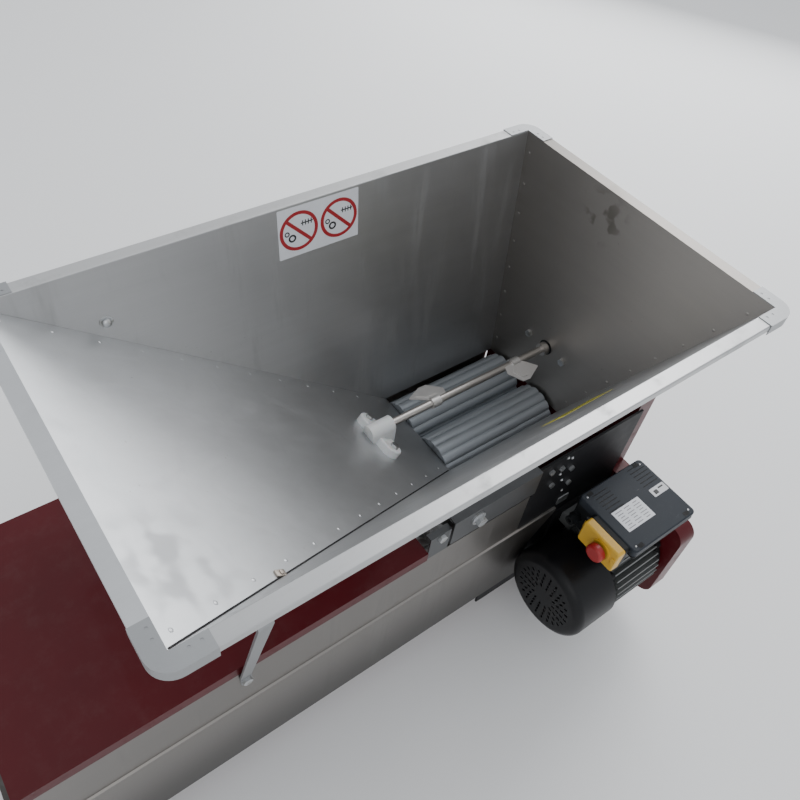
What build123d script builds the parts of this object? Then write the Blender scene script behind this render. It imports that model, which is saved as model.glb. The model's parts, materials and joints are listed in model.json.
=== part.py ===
"""Grape crusher destemmer, built as separate pieces.

A folded stainless hopper with a sloping floor feeds two fluted rollers. Under them a beater turns
in a perforated trough. A motor at the front drives the beater by belt, the beater drives the
rollers by gears, and the front roller drives the feeder shaft by belt.

Frame: origin on the floor under the middle of the overall box, +X towards the drive end,
+Y towards the back, +Z up. Millimetres.
"""


from build123d import *

import os
from math import atan, atan2, cos, degrees, radians, sin, sqrt

os.makedirs("parts", exist_ok=True)

# ---------------------------------------------------------------- driving dimensions

# hopper
hopper_length = 870.0        # inside the rim, along X
hopper_width = 500.0         # inside the rim, along Y
hopper_depth = 475.0         # rim to throat
rim_height = 800.0           # rim above the floor
rim_flange = 20.0
rim_lip = 10.0
rim_bend = 1.8               # rounding of the rim's folded edges
lip_return = 6.0
back_lean = 44.0             # how far the back wall leans in at the throat
slope_drop = 10.0            # rim to the top of the sloping floor
throat_length = 270.0        # along X, at the end wall
sheet = 1.5
corner_relief = 9.0          # rim flange left off at each corner
cap_sheet = 1.2
cap_arm = 37.0
cap_lip = 15.0
cap_dimple_radius = 1.7
cap_dimple_depth = 0.5

# casing
casing_front = 400.0         # from the rim's back edge to the casing's front face
casing_back = 30.0
casing_overhang = 172.0      # casing past the hopper's rim at the stem end
chute_reach = 60.0
deck_drop = 367.0            # rim to the top cover
deck_lip = 20.0
deck_right = 457.0           # from the end wall to the top cover's right end
skirt_right = 242.0          # end wall to the right end of the front skirt's upper strip
skirt_lower_right = 147.5    # and of its lower part
skirt_bend_drop = 490.0
skirt_bottom_drop = 680.0
skirt_joggle = 3.0
plate = 4.0                  # painted plate
end_plate_bottom = 12.0      # height of the end plates' lower edge
rail_size = 40.0
rail_wall = 2.5
rail_inset = 38.0            # rail's outer face inside the casing's front and back faces
foot_radius = 25.0
foot_height = 12.0
base_bolt_radius = 5.5
base_bolt_inset = 70.0       # hole row from each end of the rails

# crusher
roller_length = 262.0
roller_radius = 48.9
roller_flutes = 14
roller_nip = 3.2             # gap between the rollers
roller_side_gap = 1.1        # roller to the foot of a long wall, seen from above
roller_rise = 17.0           # rollers' tops above the throat's edge
roller_lobe = 14.0
roller_shaft_radius = 12.5
roller_end_gap = 6.0         # roller end to the end wall

# feeder
feeder_radius = 7.0
feeder_inset = 172.0
feeder_drop = 359.0
feeder_reach = 402.0         # shaft end from the end wall
feeder_hole_radius = 14.5
feeder_bolt_half_spacing = 45.5
slope_bolt_half_spacing = 37.0

# destemmer
beater_shaft_radius = 12.5
beater_radius = 90.0
beater_inset = 215.0
beater_gap = 7.0             # paddle tips to the grid
grid_sheet = 2.0
grid_slot = 22.0
grid_slot_length = 40.0
grid_columns = 17
paddle_count = 18
paddle_turn = 75.0           # degrees from each paddle to the next

# drive
gear_module = 6.0
big_gear_teeth = 38
pinion_teeth = 12
roller_gear_teeth = 20
gear_width = 7.0
drive_plate_gap = 8.0        # end wall to the drive plate
guard_reach = 49.0           # end wall to the guard's screw heads
guard_front = 579.0          # rim's back edge to the guard's front face
guard_sheet = 1.5
guard_margin = 43.0          # guard's edge past the pulleys
screw_head = 3.0
beater_pulley_radius = 80.0
motor_pulley_radius = 25.0
roller_pulley_radius = 25.0
feeder_pulley_radius = 40.0
pulley_width = 11.0
belt_width = 7.0
belt_height = 5.0
groove = 5.0

# motor
motor_drop = 604.0
motor_radius = 81.0
motor_core_radius = 68.0
motor_bore_radius = 52.0
cowl_radius = 86.0
motor_front_face = 5.0       # drive end of the motor past the end wall
motor_length = 229.0
cowl_length = 94.0
motor_shaft_radius = 9.5
motor_fins = 36
foot_spacing_z = 125.0
foot_spacing_x = 100.0
motor_plate_thickness = 5.0
motor_foot_height = 6.0      # feet past the fins
motor_plate_left = 141.0     # plate's left edge from the end wall

# control box
box_length = 154.0           # along X
box_width = 133.0            # along Y
box_right = 10.0             # past the end wall
box_front = 566.0
box_top_drop = 420.0
box_lid_height = 16.0
box_base_height = 54.0
box_wall = 3.0
box_base_inset = 36.0        # base behind the lid's front edge
switch_length = 80.0
switch_height = 52.0
switch_depth = 10.0
switch_drop = 2.0            # lid's top to the switch's top
flap_depth = 16.0

# fits
running = 0.05               # shaft in a bearing, on the radius
clear = 0.5                  # moving pieces side by side
panel_gap = 0.3
bolt_clear = 0.3

# ---------------------------------------------------------------- places worked out from them

overall_length = chute_reach + casing_overhang + rim_flange + hopper_length + guard_reach
overall_depth = guard_front + rim_flange + cap_sheet
end_x = overall_length / 2 - guard_reach
slope_top_x = end_x - hopper_length
throat_x = end_x - throat_length
left_x = -overall_length / 2 + chute_reach
back_y = overall_depth / 2 - rim_flange - cap_sheet
front_y = back_y - hopper_width
rim_z = rim_height
throat_z = rim_z - hopper_depth
back_throat_y = back_y - back_lean
roller_spacing = 2 * roller_radius + roller_nip
roller_back_y = back_y - back_lean - roller_side_gap - roller_radius
roller_front_y = roller_back_y - roller_spacing
roller_z = throat_z + roller_rise - roller_radius
front_throat_y = roller_front_y - roller_radius - roller_side_gap
front_lean = front_throat_y - front_y

slope_run = hopper_length - throat_length
slope_fall = hopper_depth - slope_drop
slope_angle = degrees(atan2(slope_fall, slope_run))
slope_plane = Plane(
    origin=(slope_top_x, back_y, rim_z - slope_drop),
    x_dir=(slope_run, 0, -slope_fall),
    z_dir=(slope_fall, 0, slope_run),
)

casing_front_y = back_y - casing_front
casing_back_y = back_y - casing_back
deck_z = rim_z - deck_drop
skirt_top_z = deck_z - deck_lip
skirt_bend_z = rim_z - skirt_bend_drop
skirt_bottom_z = rim_z - skirt_bottom_drop
rail_z = foot_height

roller_x = end_x - roller_end_gap - roller_length
crusher_plate_x = throat_x - 18.0
drive_plate_x = end_x + drive_plate_gap
drive_plate_face = drive_plate_x + plate

beater_y = back_y - beater_inset
gear_centres = gear_module * (big_gear_teeth + pinion_teeth) / 2
beater_z = roller_z - sqrt(gear_centres**2 - (roller_front_y - beater_y) ** 2)
grid_radius = beater_radius + beater_gap

feeder_y = back_y - feeder_inset
feeder_z = rim_z - feeder_drop
feeder_x = end_x - feeder_reach

motor_y = casing_front_y - motor_plate_thickness - motor_foot_height - motor_radius
motor_z = rim_z - motor_drop
motor_face_x = end_x + motor_front_face
motor_back_x = motor_face_x - motor_length

roller_gear_x = drive_plate_face + 1.5
big_gear_x = roller_gear_x + gear_width + 1.5
pulley_x = big_gear_x + gear_width + 2.0
belt_x = pulley_x + (pulley_width - belt_width) / 2
guard_face_x = end_x + guard_reach - screw_head
guard_inner_x = guard_face_x - guard_sheet
guard_front_y = back_y - guard_front

box_x = end_x + box_right - box_length
box_y = back_y - box_front
box_top_z = rim_z - box_top_drop
box_lid_z = box_top_z - box_lid_height
box_base_z = box_lid_z - box_base_height


def facing_x(x, y=0.0, z=0.0):
    """A plane square to X: its own x is +Y and its own y is +Z."""
    return Plane(origin=(x, y, z), x_dir=(0, 1, 0), z_dir=(1, 0, 0))


def facing_left(x, y=0.0, z=0.0):
    """A plane square to X that faces the stem end: its own x is -Y and its own y is +Z."""
    return Plane(origin=(x, y, z), x_dir=(0, -1, 0), z_dir=(-1, 0, 0))


def facing_front(y, x=0.0, z=0.0):
    """A plane square to Y: its own x is +X and its own y is +Z. Its normal is -Y."""
    return Plane(origin=(x, y, z), x_dir=(1, 0, 0), z_dir=(0, -1, 0))


def facing_rear(y, x=0.0, z=0.0):
    """A plane square to Y whose normal is +Y: its own x is -X and its own y is +Z."""
    return Plane(origin=(x, y, z), x_dir=(-1, 0, 0), z_dir=(0, 1, 0))


def folded(points, thickness):
    """The outline of a folded sheet: one face follows the points, the other lies to their left."""
    line = [Vector(*point) for point in points]
    runs = [(end - start).normalized() for start, end in zip(line, line[1:])]
    normals = [Vector(-run.Y, run.X) for run in runs]
    moved = [line[0] + normals[0] * thickness]
    for corner, before, after in zip(line[1:], normals, normals[1:]):
        moved.append(corner + (before + after) * (thickness / (1 + before.dot(after))))
    moved.append(line[-1] + normals[-1] * thickness)
    return [(point.X, point.Y) for point in line + moved[::-1]]


def throat_section(margin):
    """The hopper's inside across X, from below the throat to the rim, grown by a margin."""
    back_rate = back_lean / hopper_depth
    front_rate = front_lean / hopper_depth
    below = 30.0
    return [
        (front_y - margin, rim_z),
        (front_throat_y + below * front_rate - margin, throat_z - below),
        (back_throat_y - below * back_rate + margin, throat_z - below),
        (back_y + margin, rim_z),
    ]


def under_slope():
    """The space below the sloping floor, as an XZ outline."""
    drop = sheet / cos(radians(slope_angle))
    return [
        (slope_top_x - 2 * rim_flange, rim_z - slope_drop - drop + 2 * rim_flange * slope_fall / slope_run),
        (throat_x, throat_z - drop),
        (throat_x, throat_z - hopper_depth),
        (slope_top_x - 2 * rim_flange, throat_z - hopper_depth),
    ]


# ---------------------------------------------------------------- hopper panels


def long_panel(path, flange_y):
    """A long hopper wall with its rim, from an YZ path, cut off under the sloping floor."""
    with BuildPart() as panel:
        with BuildSketch(facing_x(slope_top_x)) as section:
            with BuildLine():
                Polyline(*folded(path, sheet), close=True)
            make_face()
            for edge_y, edge_z in [point for point in path[1:-1] if point[1] == rim_z]:
                bend = section.vertices().sort_by_distance((edge_y, edge_z, 0))[0]
                fillet(bend, radius=rim_bend)
        extrude(amount=hopper_length)
        with BuildSketch(facing_front(back_y + 4 * rim_flange)):
            with BuildLine():
                Polyline(*under_slope(), close=True)
            make_face()
        extrude(amount=hopper_width + 8 * rim_flange, mode=Mode.SUBTRACT)
        with Locations(
            (slope_top_x + corner_relief / 2, flange_y, rim_z - rim_lip / 2),
            (end_x - corner_relief / 2, flange_y, rim_z - rim_lip / 2),
        ):
            Box(corner_relief, rim_flange + sheet, rim_lip + 2 * sheet, mode=Mode.SUBTRACT)
    return panel.part


with BuildPart() as hopper_back_panel:
    add(long_panel(
        [
            (back_y + rim_flange - lip_return, rim_z - rim_lip),
            (back_y + rim_flange, rim_z - rim_lip),
            (back_y + rim_flange, rim_z),
            (back_y, rim_z),
            (back_throat_y, throat_z),
        ],
        back_y + (rim_flange + 3 * sheet) / 2,
    ))
    with BuildSketch(facing_front(back_y + rim_flange, slope_top_x + 132, rim_z - 85)):
        Circle(3.3)
    extrude(amount=2 * rim_flange, mode=Mode.SUBTRACT)
hopper_back_panel.part.label = "hopper_back_panel"
export_step(hopper_back_panel.part, "parts/hopper_back_panel.step")

with BuildPart() as hopper_front_panel:
    add(long_panel(
        [
            (front_throat_y, throat_z),
            (front_y, rim_z),
            (front_y - rim_flange, rim_z),
            (front_y - rim_flange, rim_z - rim_lip),
            (front_y - rim_flange + lip_return, rim_z - rim_lip),
        ],
        front_y - (rim_flange + 3 * sheet) / 2,
    ))
hopper_front_panel.part.label = "hopper_front_panel"
export_step(hopper_front_panel.part, "parts/hopper_front_panel.step")

with BuildPart() as hopper_end_panel:
    with BuildSketch(facing_x(end_x)):
        with BuildLine():
            Polyline(*throat_section(2 * sheet), close=True)
        make_face()
    extrude(amount=sheet)
    with Locations((end_x, (front_throat_y + back_throat_y) / 2, throat_z - hopper_depth / 2)):
        Box(8 * sheet, 2 * hopper_width, hopper_depth, mode=Mode.SUBTRACT)
    with BuildSketch(facing_front(back_y - corner_relief)):
        with BuildLine():
            Polyline(
                *folded(
                    [
                        (end_x + rim_flange - lip_return, rim_z - rim_lip),
                        (end_x + rim_flange, rim_z - rim_lip),
                        (end_x + rim_flange, rim_z),
                        (end_x, rim_z),
                        (end_x, rim_z - 2 * sheet),
                    ],
                    sheet,
                ),
                close=True,
            )
        make_face()
    extrude(amount=hopper_width - 2 * corner_relief)
    with BuildSketch(facing_x(end_x)):
        with Locations((feeder_y, feeder_z)):
            Circle(feeder_hole_radius)
        with Locations(
            (feeder_y - feeder_bolt_half_spacing, feeder_z),
            (feeder_y + feeder_bolt_half_spacing, feeder_z),
        ):
            Circle(4 + bolt_clear)
    extrude(amount=sheet, mode=Mode.SUBTRACT)
hopper_end_panel.part.label = "hopper_end_panel"
export_step(hopper_end_panel.part, "parts/hopper_end_panel.step")

slope_bearing_u = (feeder_x + 12.0 - slope_top_x) / cos(radians(slope_angle))
slope_bolt_points = [
    (slope_bearing_u, feeder_y - back_y - slope_bolt_half_spacing),
    (slope_bearing_u, feeder_y - back_y + slope_bolt_half_spacing),
]

with BuildPart() as hopper_slope_panel:
    with BuildSketch(facing_front(back_y)):
        with BuildLine():
            Polyline(
                *folded(
                    [
                        (throat_x, throat_z),
                        (slope_top_x, rim_z - slope_drop),
                        (slope_top_x, rim_z - sheet),
                    ],
                    sheet,
                ),
                close=True,
            )
        make_face()
    extrude(amount=hopper_width)
    with BuildSketch(facing_x(slope_top_x - rim_flange)):
        with BuildLine():
            Polyline(*throat_section(-panel_gap), close=True)
        make_face()
    extrude(amount=hopper_length, mode=Mode.INTERSECT)
    with BuildSketch(facing_front(back_y - corner_relief)):
        with BuildLine():
            Polyline(
                *folded(
                    [
                        (slope_top_x, rim_z - slope_drop),
                        (slope_top_x, rim_z),
                        (slope_top_x - rim_flange, rim_z),
                        (slope_top_x - rim_flange, rim_z - rim_lip),
                        (slope_top_x - rim_flange + lip_return, rim_z - rim_lip),
                    ],
                    sheet,
                ),
                close=True,
            )
        make_face()
    extrude(amount=hopper_width - 2 * corner_relief)
    with BuildSketch(slope_plane):
        with Locations(*slope_bolt_points):
            Circle(4 + bolt_clear)
    extrude(amount=-4 * sheet, mode=Mode.SUBTRACT)
hopper_slope_panel.part.label = "hopper_slope_panel"
export_step(hopper_slope_panel.part, "parts/hopper_slope_panel.step")

with BuildPart() as rim_corner_caps:
    for corner_x, corner_y, out_x, out_y in (
        (slope_top_x, front_y, -1, -1),
        (slope_top_x, back_y, -1, 1),
        (end_x, front_y, 1, -1),
        (end_x, back_y, 1, 1),
    ):
        reach = rim_flange + cap_sheet
        cap_plane = Plane(origin=(corner_x, corner_y, rim_z - cap_lip))
        with BuildSketch(cap_plane) as outline:
            with BuildLine():
                Polyline(
                    (-cap_arm * out_x, 0),
                    (-cap_arm * out_x, reach * out_y),
                    (reach * out_x, reach * out_y),
                    (reach * out_x, -cap_arm * out_y),
                    (0, -cap_arm * out_y),
                    (0, 0),
                    close=True,
                )
            make_face()
            outer_corner = outline.vertices().sort_by_distance(
                (reach * out_x, reach * out_y, 0)
            )[0]
            fillet(outer_corner, radius=reach + 5)
        extrude(amount=cap_lip + cap_sheet)
        with BuildSketch(cap_plane) as hollow:
            with BuildLine():
                Polyline(
                    (-2 * cap_arm * out_x, -cap_arm * out_y),
                    (-2 * cap_arm * out_x, rim_flange * out_y),
                    (rim_flange * out_x, rim_flange * out_y),
                    (rim_flange * out_x, -2 * cap_arm * out_y),
                    (-2 * cap_arm * out_x, -2 * cap_arm * out_y),
                    close=True,
                )
            make_face()
            inner_corner = hollow.vertices().sort_by_distance(
                (rim_flange * out_x, rim_flange * out_y, 0)
            )[0]
            fillet(inner_corner, radius=reach + 5 - cap_sheet)
        extrude(amount=cap_lip, mode=Mode.SUBTRACT)
        with BuildSketch(Plane.XY.offset(rim_z + cap_sheet)):
            for along in (cap_arm - 9, cap_arm - 21):
                with Locations(
                    (corner_x - along * out_x, corner_y + rim_flange / 3 * out_y),
                    (corner_x + rim_flange / 3 * out_x, corner_y - along * out_y),
                ):
                    Circle(cap_dimple_radius)
        extrude(amount=-cap_dimple_depth, mode=Mode.SUBTRACT)
rim_corner_caps.part.label = "rim_corner_caps"
export_step(rim_corner_caps.part, "parts/rim_corner_caps.step")


strut_x = slope_top_x + 105.5     # at the foot
strut_lean = 22.4                # top nearer the stem end than the foot
strut_width = 16.5
strut_sheet = 3.0
strut_foot_z = deck_z - 46
strut_top_z = rim_z - rim_lip - 1.0
strut_tab = 12.0
strut_angle = atan(strut_lean / (strut_top_z - strut_foot_z))
strut_rise = (strut_top_z - strut_foot_z) / cos(strut_angle)
strut_plane = Plane(
    origin=(strut_x, 0, strut_foot_z),
    x_dir=(0, 1, 0),
    z_dir=(cos(strut_angle), 0, sin(strut_angle)),
)

with BuildPart() as hopper_struts:
    for rim_edge, face_y, side in (
        (front_y - rim_flange, casing_front_y - sheet, -1),
        (back_y + rim_flange, casing_back_y + sheet, 1),
    ):
        top_y = rim_edge - side * 3.0
        path = [
            (top_y, strut_rise - strut_width * sin(strut_angle)),
            (top_y, strut_rise - strut_tab),
            (face_y + side * strut_sheet, 0.7 * strut_tab),
            (face_y + side * strut_sheet, -strut_tab),
        ]
        if side > 0:
            path = path[::-1]
        with BuildSketch(strut_plane.offset(-strut_width / 2)):
            with BuildLine():
                Polyline(*folded(path, strut_sheet), close=True)
            make_face()
        extrude(amount=strut_width)
    with BuildSketch(facing_front(back_y + 2 * rim_flange, strut_x, strut_foot_z)):
        Circle(4 + bolt_clear)
    extrude(amount=overall_depth, mode=Mode.SUBTRACT)
hopper_struts.part.label = "hopper_struts"
export_step(hopper_struts.part, "parts/hopper_struts.step")

# ---------------------------------------------------------------- feeder


def hex_bolt(plane, radius, shank, head_width, head_height, points):
    """Hexagon bolts with heads on a plane's near side and shanks through to its far side."""
    with BuildPart() as bolts:
        with BuildSketch(plane):
            with Locations(*points):
                RegularPolygon(head_width / 2, 6, major_radius=False)
        extrude(amount=head_height)
        if shank:
            with BuildSketch(plane):
                with Locations(*points):
                    Circle(radius)
            extrude(amount=-shank)
    return bolts.part


with BuildPart() as feeder_shaft:
    with BuildSketch(facing_x(feeder_x, feeder_y, feeder_z)):
        Circle(feeder_radius)
    extrude(amount=pulley_x + pulley_width - feeder_x)
feeder_shaft.part.label = "feeder_shaft"
export_step(feeder_shaft.part, "parts/feeder_shaft.step")

slope_bearing_foot = 14.0
slope_bearing_length = 104.0
slope_bearing_width = 34.0
slope_bearing_boss = 15.0        # radius
slope_boss_start = feeder_x - 7
slope_boss_length = 46.0

with BuildPart() as feeder_slope_bearing:
    with BuildSketch(slope_plane):
        with Locations((slope_bearing_u, feeder_y - back_y)):
            SlotOverall(slope_bearing_length, slope_bearing_width, rotation=90)
            Circle(slope_bearing_width * 0.62)
    extrude(amount=slope_bearing_foot)
    fillet(feeder_slope_bearing.faces().sort_by(Axis((0, 0, 0), slope_plane.z_dir))[-1].edges(), radius=3)
    with BuildSketch(facing_x(slope_boss_start, feeder_y, feeder_z)):
        Circle(slope_bearing_boss)
    extrude(amount=slope_boss_length)
    with BuildSketch(facing_x(slope_boss_start, feeder_y, feeder_z)):
        with Locations((0, -slope_bearing_boss)):
            Rectangle(2 * slope_bearing_boss, 2 * slope_bearing_boss)
    extrude(amount=slope_boss_length)
    with BuildSketch(slope_plane):
        Rectangle(4 * hopper_length, 4 * hopper_width)
    extrude(amount=-hopper_depth, mode=Mode.SUBTRACT)
    with BuildSketch(facing_x(feeder_x, feeder_y, feeder_z)):
        Circle(feeder_radius + running)
    extrude(amount=60, mode=Mode.SUBTRACT)
    with BuildSketch(slope_plane):
        with Locations(*slope_bolt_points):
            Circle(4 + bolt_clear)
    extrude(amount=2 * slope_bearing_foot, mode=Mode.SUBTRACT)
feeder_slope_bearing.part.label = "feeder_slope_bearing"
export_step(feeder_slope_bearing.part, "parts/feeder_slope_bearing.step")

end_bolt_points = [(-feeder_bolt_half_spacing, 0), (feeder_bolt_half_spacing, 0)]

with BuildPart() as feeder_end_bearing:
    with BuildSketch(facing_x(end_x + sheet, feeder_y, feeder_z)):
        SlotOverall(2 * feeder_bolt_half_spacing + 24, 24)
        Circle(22)
        Circle(feeder_radius + running, mode=Mode.SUBTRACT)
        with Locations(*end_bolt_points):
            Circle(4 + bolt_clear, mode=Mode.SUBTRACT)
    extrude(amount=drive_plate_gap - sheet)
feeder_end_bearing.part.label = "feeder_end_bearing"
export_step(feeder_end_bearing.part, "parts/feeder_end_bearing.step")

paddle_sheet = 2.0
paddle_centres = (end_x - 268, end_x - 82)
paddle_sleeve = 18.0
paddle_leaf = [(-36, 28), (-4, 43), (12, 42), (31, 16), (26, 2), (-8, 2), (-20, 12)]
paddle_pad = [(-25, 27), (-4, 36), (9, 34), (18, 19), (12, 11), (-8, 12)]

with BuildPart() as feeder_paddles:
    for paddle_x, side in zip(paddle_centres, (1, -1)):
        with BuildSketch(facing_x(paddle_x - paddle_sleeve / 2, feeder_y, feeder_z)):
            Circle(feeder_radius + 3)
            Circle(feeder_radius, mode=Mode.SUBTRACT)
        extrude(amount=paddle_sleeve)
        blade_plane = Plane(
            origin=(paddle_x, feeder_y, feeder_z),
            x_dir=(1, 0, 0),
            z_dir=(0, 0.25 * side, 1),
        )
        for outline, thickness in ((paddle_leaf, paddle_sheet), (paddle_pad, 1.6 * paddle_sheet)):
            with BuildSketch(blade_plane.offset(feeder_radius - 2)) as blade:
                with BuildLine():
                    Polyline(*[(side * x, side * y) for x, y in outline], close=True)
                make_face()
                fillet(blade.vertices(), radius=1.5)
            extrude(amount=thickness)
        with BuildSketch(facing_x(paddle_x - 2 * paddle_sleeve, feeder_y, feeder_z)):
            Circle(feeder_radius)
        extrude(amount=4 * paddle_sleeve, mode=Mode.SUBTRACT)
feeder_paddles.part.label = "feeder_paddles"
export_step(feeder_paddles.part, "parts/feeder_paddles.step")

with BuildPart() as feeder_collar:
    with BuildSketch(facing_x(end_x - 14, feeder_y, feeder_z)):
        Circle(feeder_radius + 5)
        Circle(feeder_radius, mode=Mode.SUBTRACT)
    extrude(amount=12)
feeder_collar.part.label = "feeder_collar"
export_step(feeder_collar.part, "parts/feeder_collar.step")

# ---------------------------------------------------------------- crushing rollers


def fluted_roller(y):
    """A roller with rounded flutes and a bore for its shaft."""
    with BuildPart() as roller:
        with BuildSketch(facing_x(roller_x, y, roller_z)):
            Circle(roller_radius - roller_lobe + 2)
            with PolarLocations(roller_radius - roller_lobe, roller_flutes):
                Circle(roller_lobe)
            Circle(roller_shaft_radius, mode=Mode.SUBTRACT)
        extrude(amount=roller_length)
    return roller.part


with BuildPart() as roller_back:
    add(fluted_roller(roller_back_y))
roller_back.part.label = "roller_back"
export_step(roller_back.part, "parts/roller_back.step")

with BuildPart() as roller_front:
    add(fluted_roller(roller_front_y))
roller_front.part.label = "roller_front"
export_step(roller_front.part, "parts/roller_front.step")


def round_shaft(start_x, end, y, z, radius):
    """A plain shaft along X with broken edges."""
    with BuildPart() as shaft:
        with BuildSketch(facing_x(start_x, y, z)):
            Circle(radius)
        extrude(amount=end - start_x)
        chamfer(shaft.edges().filter_by(GeomType.CIRCLE), length=1)
    return shaft.part


with BuildPart() as roller_back_shaft:
    add(round_shaft(
        crusher_plate_x - 6, roller_gear_x + gear_width, roller_back_y, roller_z, roller_shaft_radius
    ))
roller_back_shaft.part.label = "roller_back_shaft"
export_step(roller_back_shaft.part, "parts/roller_back_shaft.step")

with BuildPart() as roller_front_shaft:
    add(round_shaft(
        crusher_plate_x - 6, pulley_x + pulley_width, roller_front_y, roller_z, roller_shaft_radius
    ))
roller_front_shaft.part.label = "roller_front_shaft"
export_step(roller_front_shaft.part, "parts/roller_front_shaft.step")

left_bearing_x = crusher_plate_x + plate
left_bearing_length = roller_x - left_bearing_x - 2 * clear
right_bearing_x = roller_x + roller_length + 2 * clear
right_bearing_length = drive_plate_x - right_bearing_x

with BuildPart() as roller_bushes:
    for bearing_x, length in (
        (left_bearing_x, left_bearing_length),
        (right_bearing_x, right_bearing_length),
    ):
        with BuildSketch(facing_x(bearing_x)):
            with Locations((roller_back_y, roller_z), (roller_front_y, roller_z)):
                Circle(roller_shaft_radius + 9)
                Circle(roller_shaft_radius + running, mode=Mode.SUBTRACT)
        extrude(amount=length)
roller_bushes.part.label = "roller_bushes"
export_step(roller_bushes.part, "parts/roller_bushes.step")

with BuildPart() as crusher_plate:
    with BuildSketch(facing_x(crusher_plate_x)):
        with BuildLine():
            Polyline(
                (casing_front_y + plate, skirt_top_z - 6),
                (front_throat_y - 30, throat_z - 4),
                (casing_back_y, throat_z - 4),
                (casing_back_y, roller_z - 45),
                (casing_front_y + plate, roller_z - 45),
                close=True,
            )
        make_face()
        with Locations((roller_back_y, roller_z), (roller_front_y, roller_z)):
            Circle(roller_shaft_radius + 1, mode=Mode.SUBTRACT)
    extrude(amount=plate)
crusher_plate.part.label = "crusher_plate"
export_step(crusher_plate.part, "parts/crusher_plate.step")

# ---------------------------------------------------------------- gears and belts

def spur_gear(start_x, y, z, teeth, module, bore, phase, web_holes=0):
    """A spur gear with straight-sided teeth, one of them at the phase angle from +Y."""
    pitch = teeth * module / 2
    tip = pitch + 0.8 * module
    root = pitch - 0.95 * module
    half_root = 0.95 * module
    half_tip = 0.30 * module
    with BuildPart() as gear:
        with BuildSketch(facing_x(start_x, y, z)):
            Circle(root)
            with PolarLocations(0, teeth, start_angle=phase):
                Polygon(
                    (root - 0.3 * module, -half_root),
                    (tip, -half_tip),
                    (tip, half_tip),
                    (root - 0.3 * module, half_root),
                    align=None,
                )
            Circle(bore, mode=Mode.SUBTRACT)
            if web_holes:
                with PolarLocations((root + bore) / 2, web_holes, start_angle=phase):
                    Circle((root - bore) / 4, mode=Mode.SUBTRACT)
        extrude(amount=gear_width)
    return gear.part


roller_gear_module = roller_spacing / roller_gear_teeth
to_beater = degrees(atan2(beater_z - roller_z, beater_y - roller_front_y))

with BuildPart() as roller_back_gear:
    add(spur_gear(
        roller_gear_x, roller_back_y, roller_z, roller_gear_teeth, roller_gear_module,
        roller_shaft_radius, 180.0,
    ))
roller_back_gear.part.label = "roller_back_gear"
export_step(roller_back_gear.part, "parts/roller_back_gear.step")

with BuildPart() as roller_front_gear:
    add(spur_gear(
        roller_gear_x, roller_front_y, roller_z, roller_gear_teeth, roller_gear_module,
        roller_shaft_radius, 180.0 / roller_gear_teeth,
    ))
roller_front_gear.part.label = "roller_front_gear"
export_step(roller_front_gear.part, "parts/roller_front_gear.step")

with BuildPart() as reduction_gear:
    add(spur_gear(
        big_gear_x, roller_front_y, roller_z, big_gear_teeth, gear_module,
        roller_shaft_radius, to_beater, web_holes=6,
    ))
reduction_gear.part.label = "reduction_gear"
export_step(reduction_gear.part, "parts/reduction_gear.step")

with BuildPart() as beater_pinion:
    add(spur_gear(
        big_gear_x, beater_y, beater_z, pinion_teeth, gear_module,
        beater_shaft_radius, to_beater + 180.0 + 180.0 / pinion_teeth,
    ))
beater_pinion.part.label = "beater_pinion"
export_step(beater_pinion.part, "parts/beater_pinion.step")


def grooved_pulley(y, z, radius, bore, web_holes=0):
    """A pulley with one belt groove, in the belts' plane."""
    with BuildPart() as pulley:
        with BuildSketch(facing_x(pulley_x, y, z)):
            Circle(radius)
        extrude(amount=pulley_width)
        with BuildSketch(facing_x(belt_x - clear, y, z)):
            Circle(radius + 1)
            Circle(radius - groove, mode=Mode.SUBTRACT)
        extrude(amount=belt_width + 2 * clear, mode=Mode.SUBTRACT)
        with BuildSketch(facing_x(pulley_x, y, z)):
            Circle(bore)
            if web_holes:
                with PolarLocations((radius - groove + bore) / 2, web_holes):
                    Circle((radius - groove - bore) / 3)
        extrude(amount=pulley_width, mode=Mode.SUBTRACT)
    return pulley.part


def belt_loop(first, first_radius, second, second_radius):
    """A belt lying in two pulleys' grooves, a little clear of both."""
    with BuildPart() as belt:
        for rise, mode in ((belt_height, Mode.ADD), (0, Mode.SUBTRACT)):
            with BuildSketch(facing_x(belt_x)):
                with Locations(first):
                    Circle(first_radius - groove + clear + rise)
                with Locations(second):
                    Circle(second_radius - groove + clear + rise)
                make_hull()
            extrude(amount=belt_width, mode=mode)
    return belt.part


with BuildPart() as motor_pulley:
    add(grooved_pulley(motor_y, motor_z, motor_pulley_radius, motor_shaft_radius))
motor_pulley.part.label = "motor_pulley"
export_step(motor_pulley.part, "parts/motor_pulley.step")

with BuildPart() as beater_pulley:
    add(grooved_pulley(beater_y, beater_z, beater_pulley_radius, beater_shaft_radius, web_holes=5))
beater_pulley.part.label = "beater_pulley"
export_step(beater_pulley.part, "parts/beater_pulley.step")

with BuildPart() as roller_pulley:
    add(grooved_pulley(roller_front_y, roller_z, roller_pulley_radius, roller_shaft_radius))
roller_pulley.part.label = "roller_pulley"
export_step(roller_pulley.part, "parts/roller_pulley.step")

with BuildPart() as feeder_pulley:
    add(grooved_pulley(feeder_y, feeder_z, feeder_pulley_radius, feeder_radius))
feeder_pulley.part.label = "feeder_pulley"
export_step(feeder_pulley.part, "parts/feeder_pulley.step")

with BuildPart() as drive_belt:
    add(belt_loop((motor_y, motor_z), motor_pulley_radius, (beater_y, beater_z), beater_pulley_radius))
drive_belt.part.label = "drive_belt"
export_step(drive_belt.part, "parts/drive_belt.step")

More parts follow.
